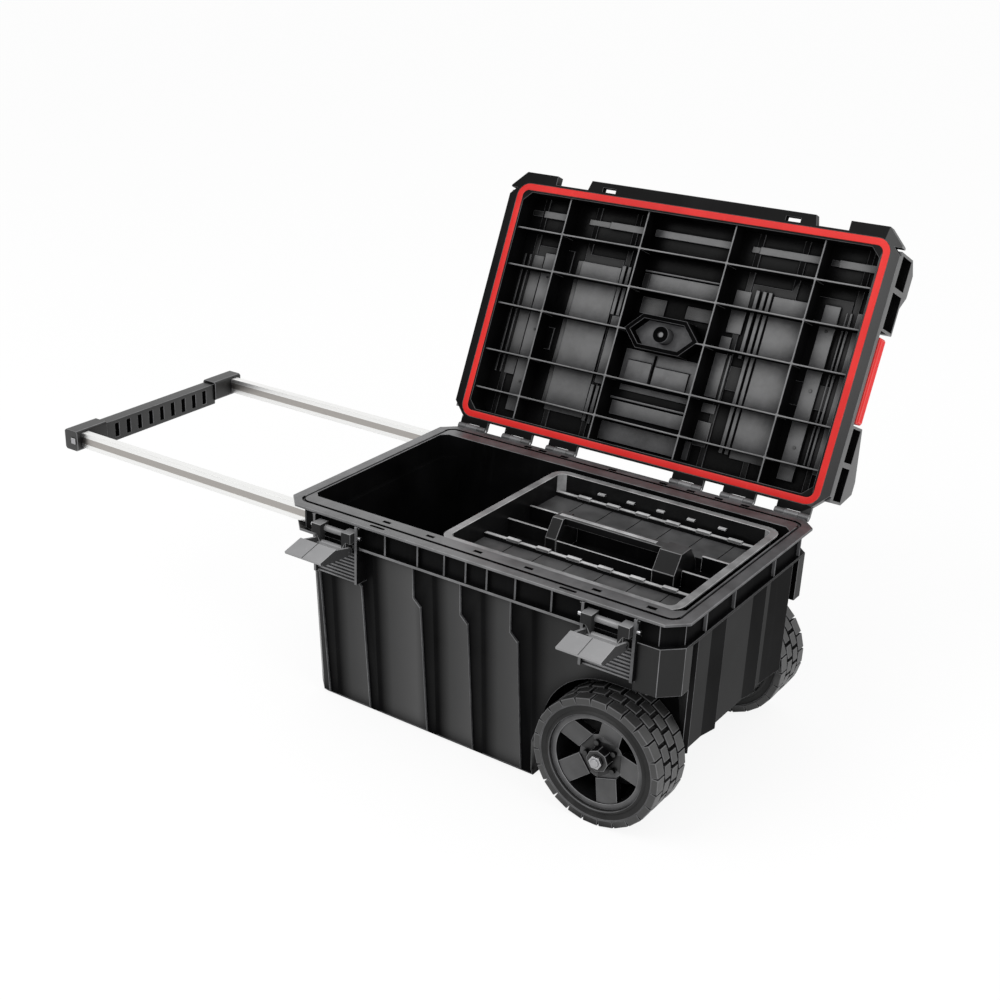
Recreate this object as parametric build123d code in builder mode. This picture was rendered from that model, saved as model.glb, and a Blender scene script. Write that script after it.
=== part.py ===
from build123d import *
import os
from math import cos, hypot, radians, sin

os.makedirs("parts", exist_ok=True)

# A rolling toolbox of moulded plastic, standing on the floor at z = 0. Its length
# runs along X: the pull handle comes out at the left end and the wheels are at the
# right end. The latches are on the front, towards -Y, and the lid hinge is at the
# back. It is drawn as it stands with the lid open, the handle pulled out and the
# latch levers lifted.

# Clearances
overrun = 2.0
slide_gap = 0.5
seat_gap = 0.3
running_fit = 0.06

# Tub walls
rim_height = 317.0
foot_length = 588.0
foot_width = 361.0
wall_length = 598.0
wall_width = 388.0
wall_top = 279.0
wall_corner = 22.0
wall = 3.0
floor_thickness = 4.0
foot_chamfer = 7.0
cavity_foot_width = 318.0
cavity_width = 328.0
cavity_corner = 18.0
mouth_length = 606.0
mouth_depth = 34.0
mouth_corner = 10.0

# Tub rim: a flat top flange, a recessed band under it and a lower flange
rim_length = 650.0
rim_width = 414.0
rim_corner = 24.0
rim_flange = 3.8
band_length = 628.0
band_width = 392.0
lower_flange_length = 640.0
lower_flange_width = 407.0
lower_flange = 4.0
seal_inset = 18.0
seal_corner = 16.0
seal_groove_width = 4.0
seal_groove_depth = 2.4
rim_slot_length = 26.0
rim_slot_width = 5.0
rim_slot_inset = 9.0
rim_slot_shares = (-0.24, 0.24)
rim_hole_length = 12.0
rim_hole_width = 6.0
front_hole_inset = 31.0
front_hole_shares = (-0.24, -0.123, 0.0, 0.126, 0.286, 0.409)
back_hole_inset = 11.0
back_hole_shares = (-0.248, -0.206, -0.144, -0.01, 0.124, 0.195, 0.265, 0.33)

# Ribs on the band
band_rib = 2.6
band_rib_inset = 1.5
front_rib_shares = (-0.217, -0.13, -0.06, -0.005, 0.048, 0.118, 0.205)
end_rib_shares = (-0.3, -0.105, 0.19, 0.39)

# Flutes between the raised panels of the walls
flute_depth = 3.5
flute_width = 17.0
flute_lean = 9.0
flute_step_height = 210.0
flute_step = 12.0
front_flute_shares = (-0.388, -0.267, -0.104, 0.021, 0.148)
end_flute_width = 8.0
left_flute_shares = (-0.36, -0.06, 0.24)

# Space for the handle's rods between the inner wall and the outer wall
channel_left = -256.0
channel_right = 290.0
channel_floor = 8.0
guide_drop = 12.0

# Ledges in the mouth that carry the tray
ledge_length = 16.0
ledge_depth = 9.0
ledge_height = 10.0
ledge_pitch = 91.5
ledge_count = 4

# Axle, and the wheel wells in the tub
wheel_radius = 94.5
wheel_place = 227.0
wheel_width = 75.6
wheel_face = 224.8
axle_radius = 6.0
axle_end = 1.5
arch_gap = 11.0
arch_foot = 17.0
arch_knee_height = 59.0
well_plane = 145.0
belly_left = 121.0
belly_height = 108.0
skirt_bottom = 80.0
boss_radius = 14.0
washer_radius = 12.0
washer_thickness = 2.0
axle_nut_width = 17.0
axle_nut_height = 5.0
end_wall_bottom = 103.0
bustle_face = 312.0
bustle_peak = 318.0
bustle_ramps = ((-145.0, -139.0), (-90.0, -60.0), (32.0, 62.0), (88.0, 145.0))
corner_block_left = 262.0
corner_block_bottom = 210.0
corner_block_side = 160.0

# Hinge
hinge_drop = 0.4
hinge_offset = 5.2
hinge_pin_radius = 2.0
knuckle_radius = 5.4
knuckle_length = 52.0
tub_knuckle_length = 22.0
knuckle_gap = 0.4
knuckle_notch = 0.8
knuckle_arm = 6.4
knuckle_places = (-280.0, -194.0, -110.0, 110.0, 194.0, 280.0)
lid_angle = 113.6

# Latch brackets on the tub
latch_places = (-224.0, 224.0)
bracket_half = 38.0
bracket_plate = 4.0
bracket_depth = 210.0
bracket_root = 187.0
bracket_bottom = 222.0
pad_face = 202.0
pad_top = 266.0
pad_rib_count = 8
pad_rib_height = 2.6
pad_rib_depth = 3.0
nub_radius = 2.5
nub_height = 309.5
nub_overhang = 3.5

# Latch claws and levers
claw_pin_radius = 3.2
claw_pin_y = -206.0
claw_pin_z = 295.0
claw_pin_overhang = 5.0
hook_width = 16.0
hook_side_gap = 0.6
hook_front = 219.0
hook_back = 200.0
hook_top = 303.5
hook_bottom = 288.0
claw_arm_width = 8.0
claw_arm_half_depth = 6.0
claw_tube = 1.6
lever_pin_radius = 3.0
lever_pin_y = -215.0
lever_pin_z = 275.0
lever_web = 4.0
lever_web_eye = 6.0
lever_half = 33.0
lever_back_y = -246.0
lever_back_z = 290.0
lever_front_y = -281.0
lever_front_z = 281.0
lever_plate = 4.0
lever_groove_width = 1.6
lever_groove_depth = 0.8

# Lid, drawn closed and then turned open about the hinge
lid_gap = 0.6
lid_length = 654.0
lid_width = 396.0
lid_corner = 24.0
lid_flange = 12.0
lid_body_length = 622.0
lid_body_width = 370.0
lid_height = 45.0
lid_skin = 3.0
lid_inner_length = 598.0
lid_inner_width = 361.0
lid_inner_corner = 14.0
gasket_width = 10.5
gasket_height = 5.0
gasket_proud = 0.2
lid_rib = 2.4
lid_rib_inset = 6.0
lid_rib_x_shares = (-0.328, -0.113, 0.113, 0.328)
lid_rib_y_shares = (-0.312, -0.159, 0.005, 0.2, 0.361)
rib_pip_radius = 2.6
cap_start = 245.0
cap_depth = 14.0
cap_height = 16.0
strip_left = -190.0
strip_right = 200.0
strip_depth = 15.0
strip_height = 12.0
strip_window_length = 23.0
strip_window_width = 7.0
strip_window_places = (-148.5, 159.5)
hex_half_length = 63.0
hex_half_width = 27.0
hex_shoulder = 26.0
hex_frame = 7.0
hex_boss_radius = 13.0
hex_boss_bore = 5.0
pad_height = 2.5
lid_pad_length = 66.0
lid_pad_width = 36.0
lid_pad_x_shares = (-0.36, -0.22, 0.22, 0.36)
lid_pad_y_shares = (-0.22, 0.1)
channel_pad_width = 9.0
channel_pad_shares = (-0.42, -0.27, -0.16, 0.16, 0.27, 0.42)
roof_frame_width = 24.0
roof_frame_height = 8.0
roof_panel_length = 250.0
roof_panel_width = 120.0
rail_width = 38.0
rail_wall = 4.0
front_rail_start = -181.0
front_rail_knee = -129.0
front_rail_end = -69.0
front_rail_top = 398.0
front_rail_step = 380.0
back_rail_start = 69.0
back_rail_end = 183.0
back_rail_top = 408.0
back_rail_step = 372.0
red_strip_start = -60.0
red_strip_end = 66.0
red_strip_bottom = 335.0
red_strip_top = 356.0
red_strip_thickness = 19.0
red_strip_edge = 3.0

# Pull handle
rod_y = 177.6
rod_z = 292.5
rod_width = 13.0
rod_height = 26.0
rod_wall = 1.6
rod_groove_height = 11.0
rod_groove_depth = 0.7
stop_length = 28.0
stop_flange = 3.0
handle_travel = 450.0
handle_rest_gap = 8.0
grip_depth = 30.0
grip_half_width = 195.0
grip_end_length = 66.0
grip_end_height = 34.0
grip_bar_depth = 22.0
grip_bar_up = 13.0
grip_bar_down = 24.0
grip_slot_count = 9
grip_slot_width = 9.0
grip_slot_depth = 8.0
grip_slot_height = 24.0
grip_slot_pitch = 26.0
grip_chamfer = 3.0
rod_seat = 18.0
rivet_size = 10.0
rivet_height = 1.6

# Tyres and wheel rims
bead_radius = 70.0
tyre_shoulder = 7.0
sidewall_dip = 2.5
tread_depth = 5.5
tread_count = 24
tread_gap_width = 5.0
tread_groove_width = 4.0
rim_ring_wall = 8.0
rim_ring_inset = 6.0
rim_web = 3.0
spoke_count = 5
spoke_turn = 18.0
spoke_width = 32.0
spoke_thickness = 12.0
spoke_outer_inset = 7.0
spoke_inner_inset = 18.0
spoke_bite = 3.0
hub_radius = 33.0
hub_inset = 20.0
hub_back_radius = 24.0
boss_sides = 8
hub_boss_radius = 15.0
hub_boss_inset = 7.0
lug_radius = 3.6
lug_circle = 23.0
lug_height = 5.0

# Tray that hangs in the mouth of the tub
tray_left = -80.0
tray_right = 292.0
tray_width = 318.0
tray_top = 312.0
tray_corner = 22.0
tray_rim = 9.0
tray_rim_thickness = 3.0
tray_wall = 2.6
tray_drop = 52.0
shelf_top = 278.0
front_shelf_edge = -55.0
back_shelf_edge = 70.0
ridge_width = 4.0
ridge_top = 285.0
back_ridge_y = 138.0
merlon_length = 22.0
merlon_height = 2.5
merlon_pitch = 50.0
merlon_count = 6
stub_top = 286.0
stub_places = (4.0, 64.0)
shelf_groove = 1.4
shelf_groove_depth = 1.0
tab_height = 3.0
tab_width = 12.0
tab_depth = 4.0
tab_drop = 16.0
tab_pitch = 50.0
tab_count = 5

# Tray handle: a bar between two sloping posts
bar_y = 12.0
bar_width = 17.0
bar_height = 11.0
post_left = 10.0
post_right = 217.0
left_post_width = 18.0
right_post_width = 34.0
post_front = -20.0
post_back = 45.0
post_foot_top = 286.0
post_top_half = 14.0
pocket_front = -19.0
pocket_back = 42.0
pocket_top = 285.0

# Sizes and places that follow from the ones above
sides = (-1, 1)
rim_under = rim_height - rim_flange
axle_z = wheel_radius
arch_radius = wheel_radius + arch_gap
arch_left = wheel_place - arch_radius
well_top = axle_z + arch_radius
wheel_back = wheel_face - wheel_width
wheel_middle = (wheel_face + wheel_back) / 2
hub_face = wheel_face - hub_boss_inset
wall_inset = wall + flute_depth
channel_inner = cavity_width / 2 + wall
channel_outer = wall_width / 2 - wall_inset
channel_bottom = rod_z - rod_height / 2 - slide_gap
hinge_y = rim_width / 2 + hinge_offset
hinge_z = rim_height - hinge_drop
hinge_axis = Axis((0, hinge_y, hinge_z), (1, 0, 0))
wheel_axis = Axis((wheel_place, 0, axle_z), (0, 1, 0))
lid_bottom = rim_height + lid_gap
lid_top = lid_bottom + lid_height
ledge_top = tray_top - tray_rim_thickness - seat_gap
claw_pin_half = bracket_half + bracket_plate / 2 + claw_pin_overhang
hook_outer = bracket_half - bracket_plate / 2 - hook_side_gap
hook_inner = hook_outer - hook_width
arm_outer = hook_inner + claw_arm_width
lever_web_inner = arm_outer + seat_gap
lever_pin_half = lever_web_inner + lever_web
grip_face = -rim_length / 2 - handle_rest_gap - handle_travel
tray_middle = (tray_left + tray_right) / 2
tray_length = tray_right - tray_left
tray_bottom = tray_top - tray_drop
tray_floor = tray_bottom + tray_wall
tray_inner_half = tray_width / 2 - tray_rim - tray_wall
tray_inner_length = tray_length - 2 * (tray_rim + tray_wall)


def cut_rectangle(length, width, corner, mode=Mode.ADD):
    """A rectangle with its corners cut off, in the current sketch."""
    x, y = length / 2, width / 2
    Polygon(
        (x, corner - y),
        (x, y - corner),
        (x - corner, y),
        (corner - x, y),
        (-x, y - corner),
        (-x, corner - y),
        (corner - x, -y),
        (x - corner, -y),
        align=None,
        mode=mode,
    )


def slab(x_span, y_span, z_span, mode=Mode.ADD):
    """A box between two limits along each axis, in the current part."""
    (x0, x1), (y0, y1), (z0, z1) = x_span, y_span, z_span
    with Locations(((x0 + x1) / 2, (y0 + y1) / 2, (z0 + z1) / 2)):
        Box(abs(x1 - x0), abs(y1 - y0), abs(z1 - z0), mode=mode)


def rod_across(x_span, y, z, radius, mode=Mode.ADD):
    """A round rod along X between two limits, in the current part."""
    with Locations(((x_span[0] + x_span[1]) / 2, y, z)):
        Cylinder(radius, abs(x_span[1] - x_span[0]), rotation=(0, 90, 0), mode=mode)


def end_plane(x):
    """The plane across the length at x, with local x along Y and local y up."""
    return Plane(origin=(x, 0, 0), x_dir=(0, 1, 0), z_dir=(1, 0, 0))


def front_plane(y):
    """The plane along the length at y, facing the front, with local y up."""
    return Plane(origin=(0, y, 0), x_dir=(1, 0, 0), z_dir=(0, -1, 0))


# The outline of a wheel well: a round arch, open below and to the right.
def well_outline(margin):
    right = rim_length / 2 + overrun
    with Locations((wheel_place, axle_z)):
        Circle(arch_radius + margin)
    Polygon(
        (wheel_place, -overrun),
        (wheel_place, axle_z + arch_foot),
        (arch_left - margin, axle_z + arch_foot),
        (arch_left - arch_foot - margin, arch_knee_height),
        (arch_left - arch_foot - margin, -overrun),
        align=None,
    )
    Polygon(
        (wheel_place, -overrun),
        (right, -overrun),
        (right, well_top + margin),
        (wheel_place, well_top + margin),
        align=None,
    )


# Both wheel wells, grown all round by a margin.
def wheel_wells(margin):
    with BuildPart() as wells:
        for side in sides:
            with BuildSketch(front_plane(side * (well_plane - margin))):
                well_outline(margin)
            extrude(amount=-side * (rim_width / 2 - well_plane + margin))
    return wells.part


# The room inside the tub, with its floor stepped up over the wheels and the axle.
with BuildPart() as cavity:
    with BuildSketch(Plane.XY.offset(floor_thickness)):
        cut_rectangle(foot_length - 2 * wall_inset, cavity_foot_width, cavity_corner)
    with BuildSketch(Plane.XY.offset(wall_top)):
        cut_rectangle(wall_length - 2 * wall_inset, cavity_width, cavity_corner)
    loft()
    with BuildSketch(Plane.XY.offset(wall_top)):
        cut_rectangle(wall_length - 2 * wall_inset, cavity_width, cavity_corner)
    extrude(amount=rim_height - wall_top + overrun)
    with BuildSketch(Plane.XY.offset(rim_height - mouth_depth)):
        cut_rectangle(mouth_length, cavity_width, mouth_corner)
    extrude(amount=mouth_depth + overrun)
    add(wheel_wells(wall), mode=Mode.SUBTRACT)
    slab(
        (belly_left - wall, rim_length / 2),
        (-well_plane, well_plane),
        (0, belly_height + wall),
        mode=Mode.SUBTRACT,
    )

# The hollow between the inner wall and the fluted outer wall, where the rods run.
# Left of it the corners stay solid under the rim, as guides for the rods.
with BuildPart() as wall_hollow:
    with BuildSketch():
        cut_rectangle(foot_length - 2 * wall_inset, foot_width - 2 * wall_inset, wall_corner)
    with BuildSketch(Plane.XY.offset(wall_top)):
        cut_rectangle(wall_length - 2 * wall_inset, wall_width - 2 * wall_inset, wall_corner)
    loft()
    slab(
        (-rim_length / 2, channel_left),
        (-rim_width / 2, rim_width / 2),
        (channel_bottom - guide_drop, rim_height),
        mode=Mode.SUBTRACT,
    )
    slab(
        (channel_left, channel_right),
        (-channel_outer, channel_outer),
        (channel_bottom - wall, rim_under),
    )
    with BuildSketch():
        Rectangle(rim_length, cavity_foot_width + 2 * wall)
    with BuildSketch(Plane.XY.offset(wall_top)):
        Rectangle(rim_length, cavity_width + 2 * wall)
    loft(mode=Mode.SUBTRACT)
    slab(
        (-rim_length / 2, rim_length / 2),
        (-channel_inner, channel_inner),
        (wall_top - overrun, rim_height),
        mode=Mode.SUBTRACT,
    )
    slab(
        (-rim_length / 2, rim_length / 2),
        (-rim_width / 2, rim_width / 2),
        (-overrun, channel_floor),
        mode=Mode.SUBTRACT,
    )
    add(wheel_wells(wall), mode=Mode.SUBTRACT)


# One flute: a groove up a leaning wall, wider above its step.
def flute_outline(place, width):
    Polygon(
        (place + width / 2, -overrun),
        (place + width / 2 - flute_lean / 2, wall_top),
        (place - width / 2 - flute_lean - flute_step, wall_top),
        (place - width / 2 - flute_lean - flute_step, flute_step_height + flute_step),
        (place - width / 2 - flute_lean, flute_step_height),
        (place - width / 2, -overrun),
        align=None,
    )


front_lean = (wall_width - foot_width) / 2
front_slope = hypot(front_lean, wall_top)
end_lean = (wall_length - foot_length) / 2
end_slope = hypot(end_lean, wall_top)
front_wall_plane = Plane(
    origin=(0, -foot_width / 2, 0),
    x_dir=(1, 0, 0),
    z_dir=(0, -wall_top / front_slope, -front_lean / front_slope),
)
left_wall_plane = Plane(
    origin=(-foot_length / 2, 0, 0),
    x_dir=(0, -1, 0),
    z_dir=(-wall_top / end_slope, 0, -end_lean / end_slope),
)

with BuildPart() as flutes:
    with BuildSketch(front_wall_plane):
        for share in front_flute_shares:
            flute_outline(share * rim_length, flute_width)
    extrude(amount=flute_depth, both=True)
    mirror(about=Plane.XZ)
    with BuildSketch(left_wall_plane):
        for share in left_flute_shares:
            flute_outline(share * rim_width, end_flute_width)
    extrude(amount=flute_depth, both=True)

# Tub
with BuildPart() as tub_shell:
    with BuildSketch():
        cut_rectangle(foot_length, foot_width, wall_corner)
    with BuildSketch(Plane.XY.offset(wall_top)):
        cut_rectangle(wall_length, wall_width, wall_corner)
    loft()
    chamfer(tub_shell.edges().group_by(Axis.Z)[0], length=foot_chamfer)
    add(flutes.part, mode=Mode.SUBTRACT)

    # Lower flange, band and top flange of the rim
    with BuildSketch(Plane.XY.offset(wall_top - lower_flange)):
        cut_rectangle(lower_flange_length, lower_flange_width, rim_corner)
    extrude(amount=lower_flange)
    with BuildSketch(Plane.XY.offset(wall_top)):
        cut_rectangle(band_length, band_width, rim_corner)
    extrude(amount=rim_under - wall_top)
    with BuildSketch(Plane.XY.offset(rim_under)):
        cut_rectangle(rim_length, rim_width, rim_corner)
    extrude(amount=rim_flange)

    # Ribs between the flanges
    rib_face = lower_flange_width / 2 - band_rib_inset
    rib_end = lower_flange_length / 2 - band_rib_inset
    for side in sides:
        for share in front_rib_shares:
            slab(
                (share * rim_length, share * rim_length + band_rib),
                (side * (band_width / 2 - overrun), side * rib_face),
                (wall_top, rim_under),
            )
        for share in end_rib_shares:
            slab(
                (side * (band_length / 2 - overrun), side * rib_end),
                (share * rim_width, share * rim_width + band_rib),
                (wall_top, rim_under),
            )

    # Blocks on the corners over the wheels
    for side in sides:
        block_end = lower_flange_length / 2
        block_face = lower_flange_width / 2
        with BuildSketch(Plane.XY.offset(corner_block_bottom)):
            Polygon(
                (corner_block_left, side * bracket_root),
                (corner_block_left, side * block_face),
                (block_end - rim_corner, side * block_face),
                (block_end, side * (block_face - rim_corner)),
                (block_end, side * corner_block_side),
                (channel_right, side * corner_block_side),
                (channel_right, side * bracket_root),
                align=None,
            )
        extrude(amount=wall_top - corner_block_bottom - lower_flange)

    # The right end stands out between the wheels, in flat faces and ramps
    outline = [(wall_length / 2 - wall_inset, -well_plane)]
    for start, peak in bustle_ramps:
        outline += [(bustle_face, start), (bustle_peak, peak), (bustle_face, peak)]
    outline.append((wall_length / 2 - wall_inset, well_plane))
    with BuildSketch(Plane.XY.offset(end_wall_bottom)):
        Polygon(*outline, align=None)
    extrude(amount=wall_top - lower_flange - end_wall_bottom)

    # Latch brackets: two plates with a ribbed pad between them
    for place in latch_places:
        slab(
            (place - bracket_half, place + bracket_half),
            (-rim_width / 2, -band_width / 2),
            (wall_top - lower_flange, wall_top),
            mode=Mode.SUBTRACT,
        )
        for side in sides:
            plate_inner = place + side * (bracket_half - bracket_plate / 2)
            plate_outer = place + side * (bracket_half + bracket_plate / 2)
            slab(
                (plate_inner, plate_outer),
                (-bracket_depth, -bracket_root),
                (bracket_bottom, rim_under),
            )
            rod_across(
                (plate_inner, plate_outer + side * nub_overhang),
                claw_pin_y,
                nub_height,
                nub_radius,
            )
        slab(
            (place - bracket_half, place + bracket_half),
            (-pad_face, -bracket_root),
            (bracket_bottom, pad_top),
        )
        for count in range(pad_rib_count):
            rib_bottom = bracket_bottom + count * (pad_top - bracket_bottom) / pad_rib_count
            slab(
                (place - bracket_half, place + bracket_half),
                (-pad_face - pad_rib_depth, -pad_face + overrun),
                (rib_bottom, rib_bottom + pad_rib_height),
            )
        rod_across(
            (place - claw_pin_half, place + claw_pin_half),
            claw_pin_y,
            claw_pin_z,
            claw_pin_radius,
            mode=Mode.SUBTRACT,
        )

    # Hollows, wheel wells and the open belly over the axle
    add(cavity.part, mode=Mode.SUBTRACT)
    add(wall_hollow.part, mode=Mode.SUBTRACT)
    add(wheel_wells(0), mode=Mode.SUBTRACT)
    slab(
        (belly_left, wall_length / 2 - wall_inset - end_lean),
        (wall - well_plane, well_plane - wall),
        (-overrun, belly_height),
        mode=Mode.SUBTRACT,
    )
    slab(
        (belly_left, rim_length / 2),
        (-rim_width / 2, rim_width / 2),
        (-overrun, skirt_bottom),
        mode=Mode.SUBTRACT,
    )
    slab(
        (corner_block_left, rim_length / 2),
        (-rim_width / 2, rim_width / 2),
        (-overrun, end_wall_bottom),
        mode=Mode.SUBTRACT,
    )
    slab(
        (wall_length / 2 - wall_inset - end_lean, mouth_length / 2),
        (wall - well_plane, well_plane - wall),
        (belly_height + wall, rim_height - mouth_depth + overrun),
        mode=Mode.SUBTRACT,
    )

    # Ledges for the tray
    for side in sides:
        ledge_y = side * (cavity_width / 2 - ledge_depth / 2 + overrun / 2)
        with Locations((tray_middle, ledge_y, ledge_top)):
            with GridLocations(ledge_pitch, 0, ledge_count, 1):
                Box(
                    ledge_length,
                    ledge_depth + overrun,
                    ledge_height,
                    align=(Align.CENTER, Align.CENTER, Align.MAX),
                )

    # Bosses for the axle
    for side in sides:
        with BuildSketch(front_plane(side * (well_plane - wall))):
            with Locations((wheel_place, axle_z)):
                Circle(boss_radius)
        extrude(amount=-side * (wheel_back - washer_thickness - seat_gap - well_plane + wall))
    with BuildSketch(front_plane(rim_width / 2)):
        with Locations((wheel_place, axle_z)):
            Circle(axle_radius)
    extrude(amount=rim_width, mode=Mode.SUBTRACT)

    # Mouths of the rods' guides in the left end
    for side in sides:
        slab(
            (-rim_length / 2 - overrun, channel_left + overrun),
            (side * rod_y - rod_width / 2 - slide_gap, side * rod_y + rod_width / 2 + slide_gap),
            (channel_bottom, rod_z + rod_height / 2 + slide_gap),
            mode=Mode.SUBTRACT,
        )

    # Groove for the gasket's seat, and the slots and holes in the top flange
    with BuildSketch(Plane.XY.offset(rim_height - seal_groove_depth)):
        RectangleRounded(
            rim_length - 2 * seal_inset + seal_groove_width,
            rim_width - 2 * seal_inset + seal_groove_width,
            seal_corner,
        )
        RectangleRounded(
            rim_length - 2 * seal_inset - seal_groove_width,
            rim_width - 2 * seal_inset - seal_groove_width,
            seal_corner - seal_groove_width,
            mode=Mode.SUBTRACT,
        )
    extrude(amount=seal_groove_depth + overrun, mode=Mode.SUBTRACT)
    with BuildSketch(Plane.XY.offset(rim_under)):
        for share in rim_slot_shares:
            with Locations((share * rim_length, rim_slot_inset - rim_width / 2)):
                SlotOverall(rim_slot_length, rim_slot_width)
        for share in front_hole_shares:
            with Locations((share * rim_length, front_hole_inset - rim_width / 2)):
                Rectangle(rim_hole_length, rim_hole_width)
        for share in back_hole_shares:
            with Locations((share * rim_length, rim_width / 2 - back_hole_inset)):
                Rectangle(rim_hole_length, rim_hole_width)
    extrude(amount=rim_flange + overrun, mode=Mode.SUBTRACT)

    # Hinge knuckles, with room in the flange for the lid's own knuckles
    notch_half = knuckle_length / 2 + knuckle_notch
    for place in knuckle_places:
        slab(
            (place - notch_half, place + notch_half),
            (hinge_y - knuckle_radius - knuckle_notch, rim_width / 2 + overrun),
            (rim_under - overrun, rim_height + overrun),
            mode=Mode.SUBTRACT,
        )
        knuckle_span = (place - tub_knuckle_length / 2, place + tub_knuckle_length / 2)
        slab(knuckle_span, (rim_width / 2 - rim_flange, hinge_y), (rim_under, rim_height))
        rod_across(knuckle_span, hinge_y, hinge_z, knuckle_radius)
        rod_across(knuckle_span, hinge_y, hinge_z, hinge_pin_radius, mode=Mode.SUBTRACT)

tub_shell.part.label = "tub_shell"
export_step(tub_shell.part, "parts/tub_shell.step")

# Hinge pins
with BuildPart() as hinge_pins:
    for place in knuckle_places:
        rod_across(
            (place - knuckle_length / 2, place + knuckle_length / 2),
            hinge_y,
            hinge_z,
            hinge_pin_radius,
        )

hinge_pins.part.label = "hinge_pins"
export_step(hinge_pins.part, "parts/hinge_pins.step")

# Axle, fixed in the bosses
axle_half = hub_face + seat_gap + axle_nut_height + axle_end
with BuildPart() as axle:
    with BuildSketch(front_plane(axle_half)):
        with Locations((wheel_place, axle_z)):
            Circle(axle_radius)
    extrude(amount=2 * axle_half)
    chamfer(axle.edges().filter_by(GeomType.CIRCLE), length=axle_end / 2)

axle.part.label = "axle"
export_step(axle.part, "parts/axle.step")

# Washers between the bosses and the wheels
with BuildPart() as axle_washers:
    for side in sides:
        with BuildSketch(front_plane(side * (wheel_back - seat_gap))):
            with Locations((wheel_place, axle_z)):
                Circle(washer_radius)
                Circle(axle_radius, mode=Mode.SUBTRACT)
        extrude(amount=side * washer_thickness)

axle_washers.part.label = "axle_washers"
export_step(axle_washers.part, "parts/axle_washers.step")

# Nuts on the ends of the axle
with BuildPart() as axle_nuts:
    for side in sides:
        with BuildSketch(front_plane(side * (hub_face + seat_gap))):
            with Locations((wheel_place, axle_z)):
                RegularPolygon(axle_nut_width / 2, 6, major_radius=False)
                Circle(axle_radius, mode=Mode.SUBTRACT)
        extrude(amount=-side * axle_nut_height)

axle_nuts.part.label = "axle_nuts"
export_step(axle_nuts.part, "parts/axle_nuts.step")

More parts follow.
